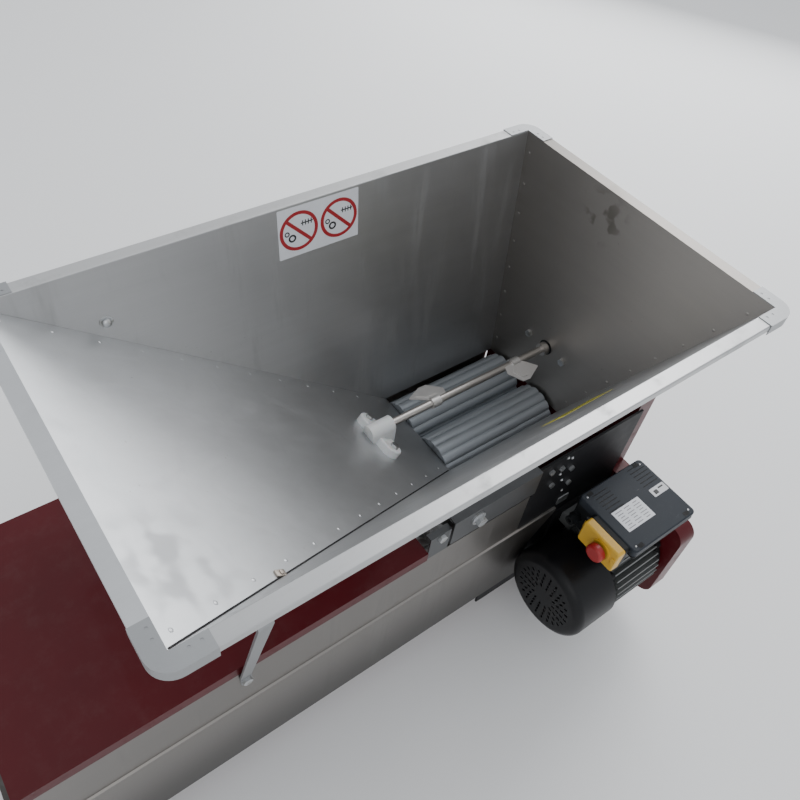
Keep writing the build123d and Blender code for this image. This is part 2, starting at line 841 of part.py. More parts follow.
with BuildPart() as feeder_belt:
    add(belt_loop(
        (roller_front_y, roller_z), roller_pulley_radius, (feeder_y, feeder_z), feeder_pulley_radius
    ))
feeder_belt.part.label = "feeder_belt"
export_step(feeder_belt.part, "parts/feeder_belt.step")

# ---------------------------------------------------------------- casing

with BuildPart() as top_cover:
    cover_front = casing_front_y - 2 * sheet
    cover_back = casing_back_y + 2 * sheet
    with BuildSketch(facing_x(left_x)):
        with BuildLine():
            Polyline(
                *folded(
                    [
                        (cover_front, skirt_top_z),
                        (cover_front, deck_z),
                        (cover_back, deck_z),
                        (cover_back, skirt_top_z),
                    ][::-1],
                    sheet,
                ),
                close=True,
            )
        make_face()
    extrude(amount=end_x - deck_right - left_x)
    with BuildSketch(facing_x(end_x - deck_right - sheet)):
        with Locations(((cover_front + cover_back) / 2, deck_z - (deck_lip - sheet) / 2)):
            Rectangle(cover_back - cover_front, deck_lip - sheet)
    extrude(amount=sheet)
top_cover.part.label = "top_cover"
export_step(top_cover.part, "parts/top_cover.step")


def skirt(face_y, out, turn_in, right_x):
    """A side skirt: inturned top edge, a small outward step and a hemmed lower edge."""
    path = [
        (face_y - out * turn_in, skirt_top_z + sheet),
        (face_y + out * sheet, skirt_top_z + sheet),
        (face_y + out * sheet, skirt_bend_z),
        (face_y + out * (sheet + skirt_joggle), skirt_bend_z - 2),
        (face_y + out * (sheet + skirt_joggle), skirt_bottom_z),
        (face_y + out * clear, skirt_bottom_z),
    ]
    if out > 0:
        path = path[::-1]
    with BuildPart() as panel:
        with BuildSketch(facing_x(left_x + plate)):
            with BuildLine():
                Polyline(*folded(path, sheet), close=True)
            make_face()
        extrude(amount=right_x - left_x - plate)
    return panel.part


skirt_upper_x = end_x - skirt_right
skirt_lower_x = end_x - skirt_lower_right
skirt_waist = 49.0               # how far the lower part's right end slants in under its corner
skirt_waist_z = skirt_bend_z - 78.0

with BuildPart() as front_skirt:
    add(skirt(casing_front_y, -1, 12, skirt_lower_x))
    with BuildSketch(facing_front(casing_front_y + 2 * sheet)):
        with BuildLine():
            Polyline(
                (skirt_upper_x, skirt_top_z + 4 * sheet),
                (skirt_upper_x, skirt_bend_z + 6),
                (skirt_upper_x + 6, skirt_bend_z - 0.5),
                (skirt_lower_x + 1, skirt_bend_z - 0.5),
                (skirt_lower_x + 1, skirt_top_z + 4 * sheet),
                close=True,
            )
        make_face()
        with BuildLine():
            Polyline(
                (skirt_lower_x, skirt_bend_z - 12),
                (skirt_lower_x - skirt_waist, skirt_waist_z),
                (skirt_lower_x - skirt_waist + 12, skirt_bottom_z - 10),
                (skirt_lower_x + 20, skirt_bottom_z - 10),
                (skirt_lower_x + 20, skirt_bend_z - 12),
                close=True,
            )
        make_face()
    extrude(amount=casing_front, mode=Mode.SUBTRACT)
    with BuildSketch(facing_front(casing_front_y + 20)):
        Rectangle(4 * skirt_lower_x, 4 * rim_z)
        with Locations((skirt_upper_x - hopper_length, skirt_top_z)):
            Rectangle(2 * hopper_length, 4 * rim_z, mode=Mode.SUBTRACT)
    extrude(amount=20 - 2 * sheet, mode=Mode.SUBTRACT)
    with BuildSketch(facing_front(casing_front_y + 5, strut_x, strut_foot_z)):
        Circle(4 + bolt_clear)
    extrude(amount=20, mode=Mode.SUBTRACT)
front_skirt.part.label = "front_skirt"
export_step(front_skirt.part, "parts/front_skirt.step")

with BuildPart() as back_skirt:
    add(skirt(casing_back_y, 1, 2, drive_plate_x))
    with BuildSketch(facing_front(casing_back_y + 20, strut_x, strut_foot_z)):
        Circle(4 + bolt_clear)
    extrude(amount=30, mode=Mode.SUBTRACT)
back_skirt.part.label = "back_skirt"
export_step(back_skirt.part, "parts/back_skirt.step")

outlet_half_width = grid_radius - 2
bearing_bar_width = 54.0

with BuildPart() as stem_end_plate:
    with BuildSketch(facing_x(left_x)):
        with BuildLine():
            Polyline(
                (casing_front_y, end_plate_bottom),
                (casing_back_y, end_plate_bottom),
                (casing_back_y, deck_z - sheet),
                (casing_front_y, deck_z - sheet),
                close=True,
            )
        make_face()
        with Locations((beater_y, beater_z)):
            Circle(outlet_half_width, mode=Mode.SUBTRACT)
        with Locations((beater_y, beater_z)):
            Rectangle(bearing_bar_width, 2 * outlet_half_width + 20)
        with Locations((beater_y, beater_z)):
            Circle(beater_shaft_radius + 1, mode=Mode.SUBTRACT)
    extrude(amount=plate)
stem_end_plate.part.label = "stem_end_plate"
export_step(stem_end_plate.part, "parts/stem_end_plate.step")

with BuildPart() as stem_chute:
    chute_plane = facing_left(left_x)
    with BuildSketch(chute_plane):
        with Locations((-beater_y, beater_z)):
            Circle(outlet_half_width + 2 * sheet)
            Circle(outlet_half_width + sheet, mode=Mode.SUBTRACT)
        with Locations((-beater_y, beater_z + outlet_half_width + 20)):
            Rectangle(3 * outlet_half_width, 2 * outlet_half_width, mode=Mode.SUBTRACT)
    extrude(amount=chute_reach)
stem_chute.part.label = "stem_chute"
export_step(stem_chute.part, "parts/stem_chute.step")

guard_shoulder_z = rim_z - 493
guard_top_z = feeder_z + feeder_pulley_radius + guard_margin
guard_upper_front_y = back_y - 392
guard_lower_z = min(foot_height + 16, beater_z - beater_pulley_radius - guard_margin / 2)
guard_corner_z = guard_lower_z + 82


def drive_outline(margin):
    """The outline shared by the drive plate and the belt guard, drawn in by a margin."""
    with BuildSketch(Plane.XY) as outline:
        with BuildLine():
            Polyline(
                (guard_upper_front_y, guard_top_z),
                (guard_upper_front_y, guard_shoulder_z),
                (guard_front_y, guard_shoulder_z),
                (guard_front_y, guard_corner_z),
                (guard_upper_front_y - 20, guard_lower_z),
                (casing_back_y, guard_lower_z),
                (casing_back_y, guard_top_z),
                close=True,
            )
        make_face()
        fillet(outline.vertices().group_by(Axis.X)[0], radius=28)
        fillet(outline.vertices().group_by(Axis.Y)[-1], radius=28)
        if margin:
            offset(amount=-margin, kind=Kind.INTERSECTION)
    return outline.sketch


pillar_radius = 7.0
pillar_points = [
    (guard_upper_front_y + 16, guard_top_z - 40),
    (casing_back_y - 16, guard_top_z - 40),
    (guard_front_y + 24, guard_shoulder_z - 32),
    (guard_front_y + 30, guard_corner_z + 6),
    (guard_upper_front_y + 10, guard_lower_z + 20),
    (casing_back_y - 16, guard_lower_z + 20),
]

with BuildPart() as drive_plate:
    with BuildSketch(facing_x(drive_plate_x)):
        add(drive_outline(0))
        with Locations((beater_y, beater_z)):
            Circle(beater_shaft_radius + 1, mode=Mode.SUBTRACT)
        with Locations((roller_back_y, roller_z), (roller_front_y, roller_z)):
            Circle(roller_shaft_radius + 1, mode=Mode.SUBTRACT)
        with Locations((feeder_y, feeder_z)):
            Circle(feeder_radius + 1, mode=Mode.SUBTRACT)
        with Locations((motor_y, motor_z)):
            Circle(motor_shaft_radius + 8, mode=Mode.SUBTRACT)
    extrude(amount=plate)
drive_plate.part.label = "drive_plate"
export_step(drive_plate.part, "parts/drive_plate.step")

with BuildPart() as belt_guard:
    with BuildSketch(facing_x(drive_plate_face)):
        add(drive_outline(0))
    extrude(amount=guard_face_x - drive_plate_face)
    with BuildSketch(facing_x(drive_plate_face)):
        add(drive_outline(guard_sheet))
    extrude(amount=guard_inner_x - drive_plate_face, mode=Mode.SUBTRACT)
    with BuildSketch(facing_x(guard_inner_x)):
        with Locations(*pillar_points):
            Circle(3 + bolt_clear)
    extrude(amount=guard_sheet, mode=Mode.SUBTRACT)
belt_guard.part.label = "belt_guard"
export_step(belt_guard.part, "parts/belt_guard.step")

side_top_z = rim_z - 319
side_left_x = end_x - 280

with BuildPart() as drive_side_plate:
    with BuildSketch(facing_front(casing_front_y + plate)):
        with BuildLine():
            Polyline(
                (side_left_x, skirt_bottom_z - 40),
                (drive_plate_x, skirt_bottom_z - 40),
                (drive_plate_x, side_top_z),
                (end_x - 236, side_top_z),
                (end_x - 236, skirt_top_z - 4),
                (side_left_x, skirt_top_z - 4),
                close=True,
            )
        make_face()
    extrude(amount=plate)
drive_side_plate.part.label = "drive_side_plate"
export_step(drive_side_plate.part, "parts/drive_side_plate.step")

rail_left = end_x - 415
rail_right = end_x - 236
rail_top = rim_z - 319
rail_bottom = rim_z - 377

with BuildPart() as crusher_rails:
    for face_y, out, low in ((casing_front_y, -1, rail_bottom),):
        path = [
            (face_y + 10, rail_top),
            (face_y + out * 4, rail_top),
            (face_y + out * 4, low),
            (face_y + 10, low),
        ]
        with BuildSketch(facing_x(rail_left)):
            with BuildLine():
                Polyline(*folded(path, 2), close=True)
            make_face()
        extrude(amount=rail_right - rail_left)
        with BuildSketch(facing_x(end_x - deck_right)):
            with BuildLine():
                Polyline(
                    *folded(
                        [
                            (face_y + 10, rail_top - 12),
                            (face_y - 2, rail_top - 12),
                            (face_y - 2, skirt_top_z + 2),
                        ],
                        2,
                    ),
                    close=True,
                )
            make_face()
        extrude(amount=39)
crusher_rails.part.label = "crusher_rails"
export_step(crusher_rails.part, "parts/crusher_rails.step")

rail_front_y = casing_front_y + rail_inset + rail_size / 2
rail_back_y = casing_back_y - rail_inset - rail_size / 2
rail_length = drive_plate_x - left_x - plate
rail_bolt_x = (left_x + plate + base_bolt_inset, drive_plate_x - base_bolt_inset)

with BuildPart() as base_rails:
    with BuildSketch(facing_x(left_x + plate)):
        with Locations(
            (rail_front_y, rail_z + rail_size / 2),
            (rail_back_y, rail_z + rail_size / 2),
        ):
            RectangleRounded(rail_size, rail_size, 4)
            RectangleRounded(
                rail_size - 2 * rail_wall, rail_size - 2 * rail_wall, 1.5, mode=Mode.SUBTRACT
            )
    extrude(amount=rail_length)
    with BuildSketch(Plane.XY.offset(rail_z - 1)):
        with Locations(*[(x, y) for x in rail_bolt_x for y in (rail_front_y, rail_back_y)]):
            Circle(base_bolt_radius)
    extrude(amount=rail_size + 2, mode=Mode.SUBTRACT)
base_rails.part.label = "base_rails"
export_step(base_rails.part, "parts/base_rails.step")

foot_x = (left_x + plate + base_bolt_inset + 60, drive_plate_x - base_bolt_inset - 60)

with BuildPart() as rubber_feet:
    with BuildSketch(Plane.XY):
        with Locations(*[(x, y) for x in foot_x for y in (rail_front_y, rail_back_y)]):
            Circle(foot_radius)
    extrude(amount=foot_height, taper=6)
rubber_feet.part.label = "rubber_feet"
export_step(rubber_feet.part, "parts/rubber_feet.step")

# ---------------------------------------------------------------- destemmer

wing_top_z = roller_z - 45
grid_left_x = left_x + plate
grid_length = drive_plate_x - grid_left_x

with BuildPart() as destemming_grid:
    with BuildSketch(facing_x(grid_left_x)):
        with Locations((beater_y, beater_z)):
            Circle(grid_radius + grid_sheet)
        with BuildLine():
            Polyline(
                (beater_y - grid_radius - grid_sheet, beater_z),
                (casing_front_y + plate + 1, wing_top_z),
                (casing_back_y - 1, wing_top_z),
                (beater_y + grid_radius + grid_sheet, beater_z),
                close=True,
            )
        make_face()
    extrude(amount=grid_length)
    with BuildSketch(facing_x(grid_left_x)):
        with Locations((beater_y, beater_z)):
            Circle(grid_radius)
        with BuildLine():
            Polyline(
                (beater_y - grid_radius, beater_z),
                (casing_front_y + plate + 1 + 1.3 * grid_sheet, wing_top_z),
                (casing_front_y + plate + 1 + 1.3 * grid_sheet, wing_top_z + 100),
                (casing_back_y - 1 - 1.3 * grid_sheet, wing_top_z + 100),
                (casing_back_y - 1 - 1.3 * grid_sheet, wing_top_z),
                (beater_y + grid_radius, beater_z),
                close=True,
            )
        make_face()
    extrude(amount=grid_length, mode=Mode.SUBTRACT)
    column_pitch = (grid_length - 60) / grid_columns
    for turn in (-60, -30, 0, 30, 60):
        slot_plane = Plane(
            origin=(grid_left_x + grid_length / 2, beater_y, beater_z),
            x_dir=(1, 0, 0),
            z_dir=(0, sin(radians(turn)), -cos(radians(turn))),
        )
        with BuildSketch(slot_plane.offset(grid_radius - 8)):
            with GridLocations(column_pitch, 1, grid_columns, 1):
                SlotOverall(grid_slot_length, grid_slot)
        extrude(amount=30, mode=Mode.SUBTRACT)
destemming_grid.part.label = "destemming_grid"
export_step(destemming_grid.part, "parts/destemming_grid.step")

bearing_length = 16.0
beater_left = left_x - bearing_length
beater_right = pulley_x + pulley_width

with BuildPart() as beater_shaft:
    add(round_shaft(beater_left - 4, beater_right, beater_y, beater_z, beater_shaft_radius))
beater_shaft.part.label = "beater_shaft"
export_step(beater_shaft.part, "parts/beater_shaft.step")

with BuildPart() as beater_bearings:
    for bearing_plane in (facing_left(left_x), facing_left(drive_plate_x)):
        with BuildSketch(bearing_plane):
            with Locations((-beater_y, beater_z)):
                Circle(24)
                SlotOverall(90, 36, rotation=90)
        extrude(amount=7)
        with BuildSketch(bearing_plane):
            with Locations((-beater_y, beater_z)):
                Circle(22)
        extrude(amount=bearing_length)
        with BuildSketch(bearing_plane):
            with Locations((-beater_y, beater_z)):
                Circle(beater_shaft_radius + running)
        extrude(amount=bearing_length, mode=Mode.SUBTRACT)
beater_bearings.part.label = "beater_bearings"
export_step(beater_bearings.part, "parts/beater_bearings.step")

paddle_start = left_x + plate + 34
paddle_pitch = (drive_plate_x - bearing_length - 34 - paddle_start) / (paddle_count - 1)
blade_height = 26.0
blade_width = 44.0

with BuildPart() as beater_paddles:
    for index in range(paddle_count):
        turn = radians(index * paddle_turn)
        paddle_plane = Plane(
            origin=(paddle_start + index * paddle_pitch, beater_y, beater_z),
            x_dir=(1, 0, 0),
            z_dir=(0, cos(turn), sin(turn)),
        )
        with BuildSketch(paddle_plane):
            Circle(6)
        extrude(amount=beater_radius - blade_height + 6)
        with BuildSketch(paddle_plane.offset(beater_radius - blade_height)):
            Rectangle(blade_width, 4, rotation=12)
        extrude(amount=blade_height - 2)
    with BuildSketch(facing_x(left_x, beater_y, beater_z)):
        Circle(beater_shaft_radius)
    extrude(amount=overall_length, mode=Mode.SUBTRACT)
beater_paddles.part.label = "beater_paddles"
export_step(beater_paddles.part, "parts/beater_paddles.step")

# ---------------------------------------------------------------- motor

shield_length = 12.0
shield_x = motor_face_x - shield_length
cowl_x = motor_back_x
cowl_end_x = cowl_x + cowl_length
back_shield_x = cowl_end_x
frame_x = back_shield_x + shield_length
frame_length = shield_x - frame_x
fin_thickness = 2.6
foot_plane_y = motor_y + motor_radius + motor_foot_height
pad_half = 44.0
box_floor_z = box_base_z

with BuildPart() as motor_frame:
    with BuildSketch(facing_x(frame_x, motor_y, motor_z)):
        Circle(motor_core_radius)
        with PolarLocations(0, motor_fins, start_angle=180 / motor_fins):
            with Locations((motor_core_radius + 4, 0)):
                Rectangle(2 * (motor_radius - motor_core_radius - 4), fin_thickness)
        with Locations((0, (box_floor_z - motor_z) / 2 + 20)):
            Rectangle(2 * pad_half, box_floor_z - motor_z - 40)
        for foot_side in (-1, 1):
            with Locations((motor_radius - 8, foot_side * foot_spacing_z / 2)):
                Rectangle(28, 26)
        Circle(motor_bore_radius, mode=Mode.SUBTRACT)
    extrude(amount=frame_length)
    with BuildSketch(facing_front(foot_plane_y + 2, frame_x + frame_length / 2, motor_z)):
        with GridLocations(foot_spacing_x, foot_spacing_z, 2, 2):
            Circle(5)
    extrude(amount=40, mode=Mode.SUBTRACT)
motor_frame.part.label = "motor_frame"
export_step(motor_frame.part, "parts/motor_frame.step")

with BuildPart() as motor_end_shields:
    for start in (back_shield_x, shield_x):
        with BuildSketch(facing_x(start, motor_y, motor_z)):
            Circle(motor_core_radius + 6)
            with PolarLocations(motor_core_radius + 4, 4, start_angle=45):
                Circle(8)
            Circle(motor_shaft_radius + running, mode=Mode.SUBTRACT)
        extrude(amount=shield_length)
motor_end_shields.part.label = "motor_end_shields"
export_step(motor_end_shields.part, "parts/motor_end_shields.step")

rotor_radius = 34.5

with BuildPart() as motor_stator:
    with BuildSketch(facing_x(frame_x + 14, motor_y, motor_z)):
        Circle(motor_bore_radius)
        Circle(rotor_radius + clear, mode=Mode.SUBTRACT)
    extrude(amount=frame_length - 28)
motor_stator.part.label = "motor_stator"
export_step(motor_stator.part, "parts/motor_stator.step")

with BuildPart() as motor_rotor:
    with BuildSketch(facing_x(frame_x + 14, motor_y, motor_z)):
        Circle(rotor_radius)
        Circle(motor_shaft_radius, mode=Mode.SUBTRACT)
    extrude(amount=frame_length - 28)
motor_rotor.part.label = "motor_rotor"
export_step(motor_rotor.part, "parts/motor_rotor.step")

fan_x = cowl_x + 24

with BuildPart() as motor_shaft:
    add(round_shaft(fan_x - 2, pulley_x + pulley_width, motor_y, motor_z, motor_shaft_radius))
motor_shaft.part.label = "motor_shaft"
export_step(motor_shaft.part, "parts/motor_shaft.step")

with BuildPart() as motor_fan:
    with BuildSketch(facing_x(fan_x, motor_y, motor_z)):
        Circle(20)
        Circle(motor_shaft_radius, mode=Mode.SUBTRACT)
    extrude(amount=34)
    with BuildSketch(facing_x(fan_x + 30, motor_y, motor_z)):
        Circle(62)
        Circle(motor_shaft_radius, mode=Mode.SUBTRACT)
    extrude(amount=4)
    with BuildSketch(facing_x(fan_x + 4, motor_y, motor_z)):
        with PolarLocations(0, 8):
            with Locations((40, 0)):
                Rectangle(44, 3)
    extrude(amount=28)
motor_fan.part.label = "motor_fan"
export_step(motor_fan.part, "parts/motor_fan.step")

cowl_sheet = 2.0
cowl_corner = 16.0


def round_pot(start_x, radius, corner):
    """A round block along X with its stem-side edge rounded."""
    with BuildPart() as pot:
        with BuildSketch(facing_x(start_x, motor_y, motor_z)):
            Circle(radius)
        extrude(amount=cowl_end_x - start_x)
        fillet(pot.edges().filter_by(GeomType.CIRCLE).group_by(Axis.X)[0], radius=corner)
    return pot.part


with BuildPart() as fan_cowl:
    add(round_pot(cowl_x, cowl_radius, cowl_corner))
    add(
        round_pot(cowl_x + cowl_sheet, cowl_radius - cowl_sheet, cowl_corner - cowl_sheet),
        mode=Mode.SUBTRACT,
    )
    with BuildSketch(facing_x(cowl_x - 1, motor_y, motor_z)):
        for ring_radius, count in ((56, 24), (46, 20), (36, 16), (26, 12)):
            with PolarLocations(ring_radius, count):
                SlotOverall(8, 4)
    extrude(amount=cowl_sheet + 2, mode=Mode.SUBTRACT)
fan_cowl.part.label = "fan_cowl"
export_step(fan_cowl.part, "parts/fan_cowl.step")

motor_plate_top_z = motor_z + motor_radius + 11
motor_plate_bottom_z = motor_z - motor_radius - 30

with BuildPart() as motor_plate:
    with BuildSketch(facing_front(casing_front_y)):
        with BuildLine():
            Polyline(
                (end_x - motor_plate_left, motor_plate_top_z),
                (drive_plate_x, motor_plate_top_z),
                (drive_plate_x, motor_plate_bottom_z),
                (end_x - motor_plate_left, motor_plate_bottom_z),
                close=True,
            )
        make_face()
        with Locations((frame_x + frame_length / 2, motor_z)):
            with GridLocations(foot_spacing_x, foot_spacing_z, 2, 2):
                SlotOverall(24, 9, mode=Mode.SUBTRACT)
    extrude(amount=motor_plate_thickness)
motor_plate.part.label = "motor_plate"
export_step(motor_plate.part, "parts/motor_plate.step")

# ---------------------------------------------------------------- control box and switch

box_base_width = box_width - box_base_inset
box_base_middle = (box_x + box_length / 2, box_y + box_base_inset + box_base_width / 2)

with BuildPart() as control_box_base:
    with BuildSketch(Plane.XY.offset(box_base_z)):
        with Locations(box_base_middle):
            RectangleRounded(box_length, box_base_width, 8)
    extrude(amount=box_base_height)
    with BuildSketch(Plane.XY.offset(box_base_z + box_wall)):
        with Locations(box_base_middle):
            RectangleRounded(box_length - 2 * box_wall, box_base_width - 2 * box_wall, 5)
    extrude(amount=box_base_height, mode=Mode.SUBTRACT)
    with BuildSketch(Plane.XY.offset(box_lid_z - box_wall)):
        with Locations((box_x + box_length / 2, box_y + box_base_inset / 2 + box_wall)):
            RectangleRounded(box_length, box_base_inset + 2 * box_wall, 5)
    extrude(amount=box_wall)
control_box_base.part.label = "control_box_base"
export_step(control_box_base.part, "parts/control_box_base.step")

with BuildPart() as control_box_lid:
    with BuildSketch(Plane.XY.offset(box_lid_z)):
        with Locations((box_x + box_length / 2, box_y + box_width / 2)):
            RectangleRounded(box_length, box_width, 8)
    extrude(amount=box_lid_height)
    fillet(control_box_lid.edges().group_by(Axis.Z)[-1], radius=2.5)
    with BuildSketch(Plane.XY.offset(box_lid_z)):
        with Locations((box_x + box_length / 2, box_y + box_width / 2)):
            RectangleRounded(box_length - 2 * box_wall, box_width - 2 * box_wall, 5)
    extrude(amount=box_lid_height - box_wall, mode=Mode.SUBTRACT)
control_box_lid.part.label = "control_box_lid"
export_step(control_box_lid.part, "parts/control_box_lid.step")

capacitor_radius = 19.0

with BuildPart() as run_capacitor:
    with BuildSketch(facing_x(box_x + 30, box_y + box_width - 34, box_base_z + box_wall + capacitor_radius)):
        Circle(capacitor_radius)
    extrude(amount=86)
run_capacitor.part.label = "run_capacitor"
export_step(run_capacitor.part, "parts/run_capacitor.step")

switch_x = box_x
switch_y = box_y + 12 + switch_length / 2
switch_z = box_top_z - switch_drop - switch_height / 2
housing_face_x = switch_x - switch_depth
button_radius = 8.0
button_y = (switch_y - 6, switch_y + 20)      # stop, start

flap_gap = 1.0
flap_back_x = housing_face_x - flap_gap
flap_face_x = flap_back_x - flap_depth
flap_wall = 2.5
knuckle_radius = 3.0
knuckle_length = 20.0
hinge_pin_radius = 1.3
hinge_y = switch_y + switch_length / 2 + knuckle_radius + clear
mushroom_y = button_y[0]
mushroom_radius = 17.0
stem_radius = 7.0


def hinge_knuckles(reach_x, half_lengths):
    """Knuckles on the flap's hinge line, webbed back to a piece that ends at reach_x."""
    outer, inner = half_lengths
    with BuildPart() as knuckles:
        with BuildSketch(Plane.XY.offset(switch_z - outer)):
            with Locations((flap_back_x, hinge_y)):
                Circle(knuckle_radius)
            with Locations(((flap_back_x + reach_x) / 2, hinge_y - knuckle_radius / 2 - 1)):
                Rectangle(abs(reach_x - flap_back_x), knuckle_radius + 2)
        extrude(amount=2 * outer)
        if inner:
            with BuildSketch(Plane.XY.offset(switch_z - inner)):
                with Locations((flap_back_x, hinge_y)):
                    Rectangle(12 * knuckle_radius, 12 * knuckle_radius)
            extrude(amount=2 * inner, mode=Mode.SUBTRACT)
    return knuckles.part


with BuildPart() as switch_housing:
    with BuildSketch(facing_left(switch_x, switch_y, switch_z)):
        RectangleRounded(switch_length, switch_height, 5)
    extrude(amount=switch_depth)
    with BuildSketch(facing_left(housing_face_x, 0, switch_z)):
        with Locations((-button_y[0], 0), (-button_y[1], 0)):
            Circle(button_radius + clear)
    extrude(amount=-10, mode=Mode.SUBTRACT)
    add(hinge_knuckles(flap_back_x + 6, (knuckle_length / 2 + 7, knuckle_length / 2 + clear)))
    with BuildSketch(Plane.XY.offset(switch_z - knuckle_length / 2 - 2)):
        with Locations((flap_back_x, hinge_y)):
            Circle(hinge_pin_radius)
    extrude(amount=knuckle_length + 4)
switch_housing.part.label = "switch_housing"
export_step(switch_housing.part, "parts/switch_housing.step")

button_proud = 2.0
button_length = 7.0


def panel_button(y):
    """A flush push button in the switch housing, free to travel inwards."""
    with BuildPart() as button:
        with BuildSketch(facing_left(housing_face_x - button_proud, y, switch_z)):
            Circle(button_radius)
        extrude(amount=-button_length)
    return button.part


with BuildPart() as start_button:
    add(panel_button(button_y[1]))
start_button.part.label = "start_button"
export_step(start_button.part, "parts/start_button.step")

with BuildPart() as off_button:
    add(panel_button(button_y[0]))
off_button.part.label = "off_button"
export_step(off_button.part, "parts/off_button.step")

with BuildPart() as switch_flap:
    with BuildSketch(facing_left(flap_back_x, switch_y, switch_z)):
        RectangleRounded(switch_length, switch_height, 5)
    extrude(amount=flap_depth)
    fillet(switch_flap.edges().group_by(Axis.X)[0], radius=3)
    with BuildSketch(facing_left(flap_back_x, switch_y, switch_z)):
        RectangleRounded(switch_length - 2 * flap_wall, switch_height - 2 * flap_wall, 3)
    extrude(amount=flap_depth - flap_wall, mode=Mode.SUBTRACT)
    with BuildSketch(facing_left(flap_back_x, 0, switch_z)):
        with Locations((-mushroom_y, 0)):
            Circle(stem_radius + 5)
    extrude(amount=flap_depth)
    with BuildSketch(facing_left(flap_back_x, 0, switch_z)):
        with Locations((-mushroom_y, 0)):
            Circle(stem_radius + 6)
    extrude(amount=3, mode=Mode.SUBTRACT)
    add(hinge_knuckles(flap_back_x - 6, (knuckle_length / 2, 0)))
    with BuildSketch(Plane.XY.offset(switch_z - knuckle_length)):
        with Locations((flap_back_x, hinge_y)):
            Circle(hinge_pin_radius + running)
    extrude(amount=2 * knuckle_length, mode=Mode.SUBTRACT)
    with BuildSketch(facing_left(flap_back_x, 0, switch_z)):
        with Locations((-mushroom_y, 0)):
            Circle(stem_radius + clear)
    extrude(amount=flap_depth, mode=Mode.SUBTRACT)
switch_flap.part.label = "switch_flap"
export_step(switch_flap.part, "parts/switch_flap.step")

mushroom_travel = 4.0
mushroom_height = 12.0

with BuildPart() as stop_mushroom:
    with BuildSketch(facing_left(flap_back_x - 2, mushroom_y, switch_z)):
        Circle(stem_radius)
    extrude(amount=flap_depth + 2 + mushroom_travel)
    with BuildSketch(facing_left(flap_face_x - mushroom_travel - 2, mushroom_y, switch_z)):
        Circle(mushroom_radius)
    extrude(amount=mushroom_height)
    fillet(stop_mushroom.edges().group_by(Axis.X)[0], radius=5)
stop_mushroom.part.label = "stop_mushroom"
export_step(stop_mushroom.part, "parts/stop_mushroom.step")

gland_bore = 4.5
gland_length = 20.0
gland_inset = 12.0               # from the box's rear face, clear of the open flap
gland_height = 25.0              # above the box's floor

with BuildPart() as cable_gland:
    gland_plane = facing_left(box_x, box_y + box_width - gland_inset, box_base_z + gland_height)
    with BuildSketch(gland_plane):
        RegularPolygon(9.5, 6, major_radius=False)
    extrude(amount=8)
    with BuildSketch(gland_plane):
        Circle(8.5)
    extrude(amount=gland_length)
    with BuildSketch(gland_plane):
        Circle(gland_bore)
    extrude(amount=gland_length, mode=Mode.SUBTRACT)
cable_gland.part.label = "cable_gland"
export_step(cable_gland.part, "parts/cable_gland.step")

# ---------------------------------------------------------------- fasteners

side_bolt_points = [
    (end_x - 205, rim_z - 345),
    (end_x - 180, rim_z - 352),
    (end_x - 190, rim_z - 392),
    (end_x - 150, rim_z - 372),
    (end_x - 140, rim_z - 420),
]
knob_z = rim_z - 340
knob_radius = 12.0
m8_radius = 4.0
m8_flats = 13.0
m8_head = 5.3

with BuildPart() as bolts_and_screws:
    add(hex_bolt(
        slope_plane.offset(slope_bearing_foot), m8_radius, slope_bearing_foot + sheet + 7,
        m8_flats, m8_head, slope_bolt_points,
    ))
    add(hex_bolt(facing_left(end_x), m8_radius, sheet + 5, m8_flats, m8_head, [
        (-feeder_y - feeder_bolt_half_spacing, feeder_z),
        (-feeder_y + feeder_bolt_half_spacing, feeder_z),
    ]))
    for face_y, side_plane in (
        (casing_front_y, facing_front(casing_front_y - sheet - strut_sheet)),
        (casing_back_y, facing_rear(casing_back_y + sheet + strut_sheet)),
    ):
        strut_point = (strut_x if face_y == casing_front_y else -strut_x, strut_foot_z)
        add(hex_bolt(
            side_plane, m8_radius, sheet + strut_sheet + 6, m8_flats, m8_head, [strut_point]
        ))
    add(hex_bolt(facing_front(casing_front_y), 3, 0, 10, 4, side_bolt_points))
    with BuildSketch(facing_front(casing_front_y - 4)):
        with Locations((end_x - 367, knob_z)):
            Circle(knob_radius + 1)
    extrude(amount=3)
    with BuildSketch(facing_front(casing_front_y - 7)):
        with Locations((end_x - 367, knob_z)):
            RegularPolygon(8.5, 6, major_radius=False)
    extrude(amount=9)
    with BuildSketch(facing_front(casing_front_y - 2)):
        with Locations((end_x - 436, knob_z)):
            RegularPolygon(m8_flats / 2, 6, major_radius=False)
    extrude(amount=m8_head)
    with BuildSketch(facing_x(drive_plate_face)):
        with Locations(*pillar_points):
            Circle(pillar_radius)
    extrude(amount=guard_inner_x - drive_plate_face)
    with BuildSketch(facing_x(guard_face_x)):
        with Locations(*pillar_points):
            Circle(6)
    extrude(amount=screw_head)
    with BuildSketch(facing_x(guard_face_x)):
        with Locations(*pillar_points):
            Circle(3)
    extrude(amount=-guard_sheet)
bolts_and_screws.part.label = "bolts_and_screws"
export_step(bolts_and_screws.part, "parts/bolts_and_screws.step")
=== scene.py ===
"""Looks of a grape crusher destemmer: finishes, spot rivets, labels, vents and small hardware."""

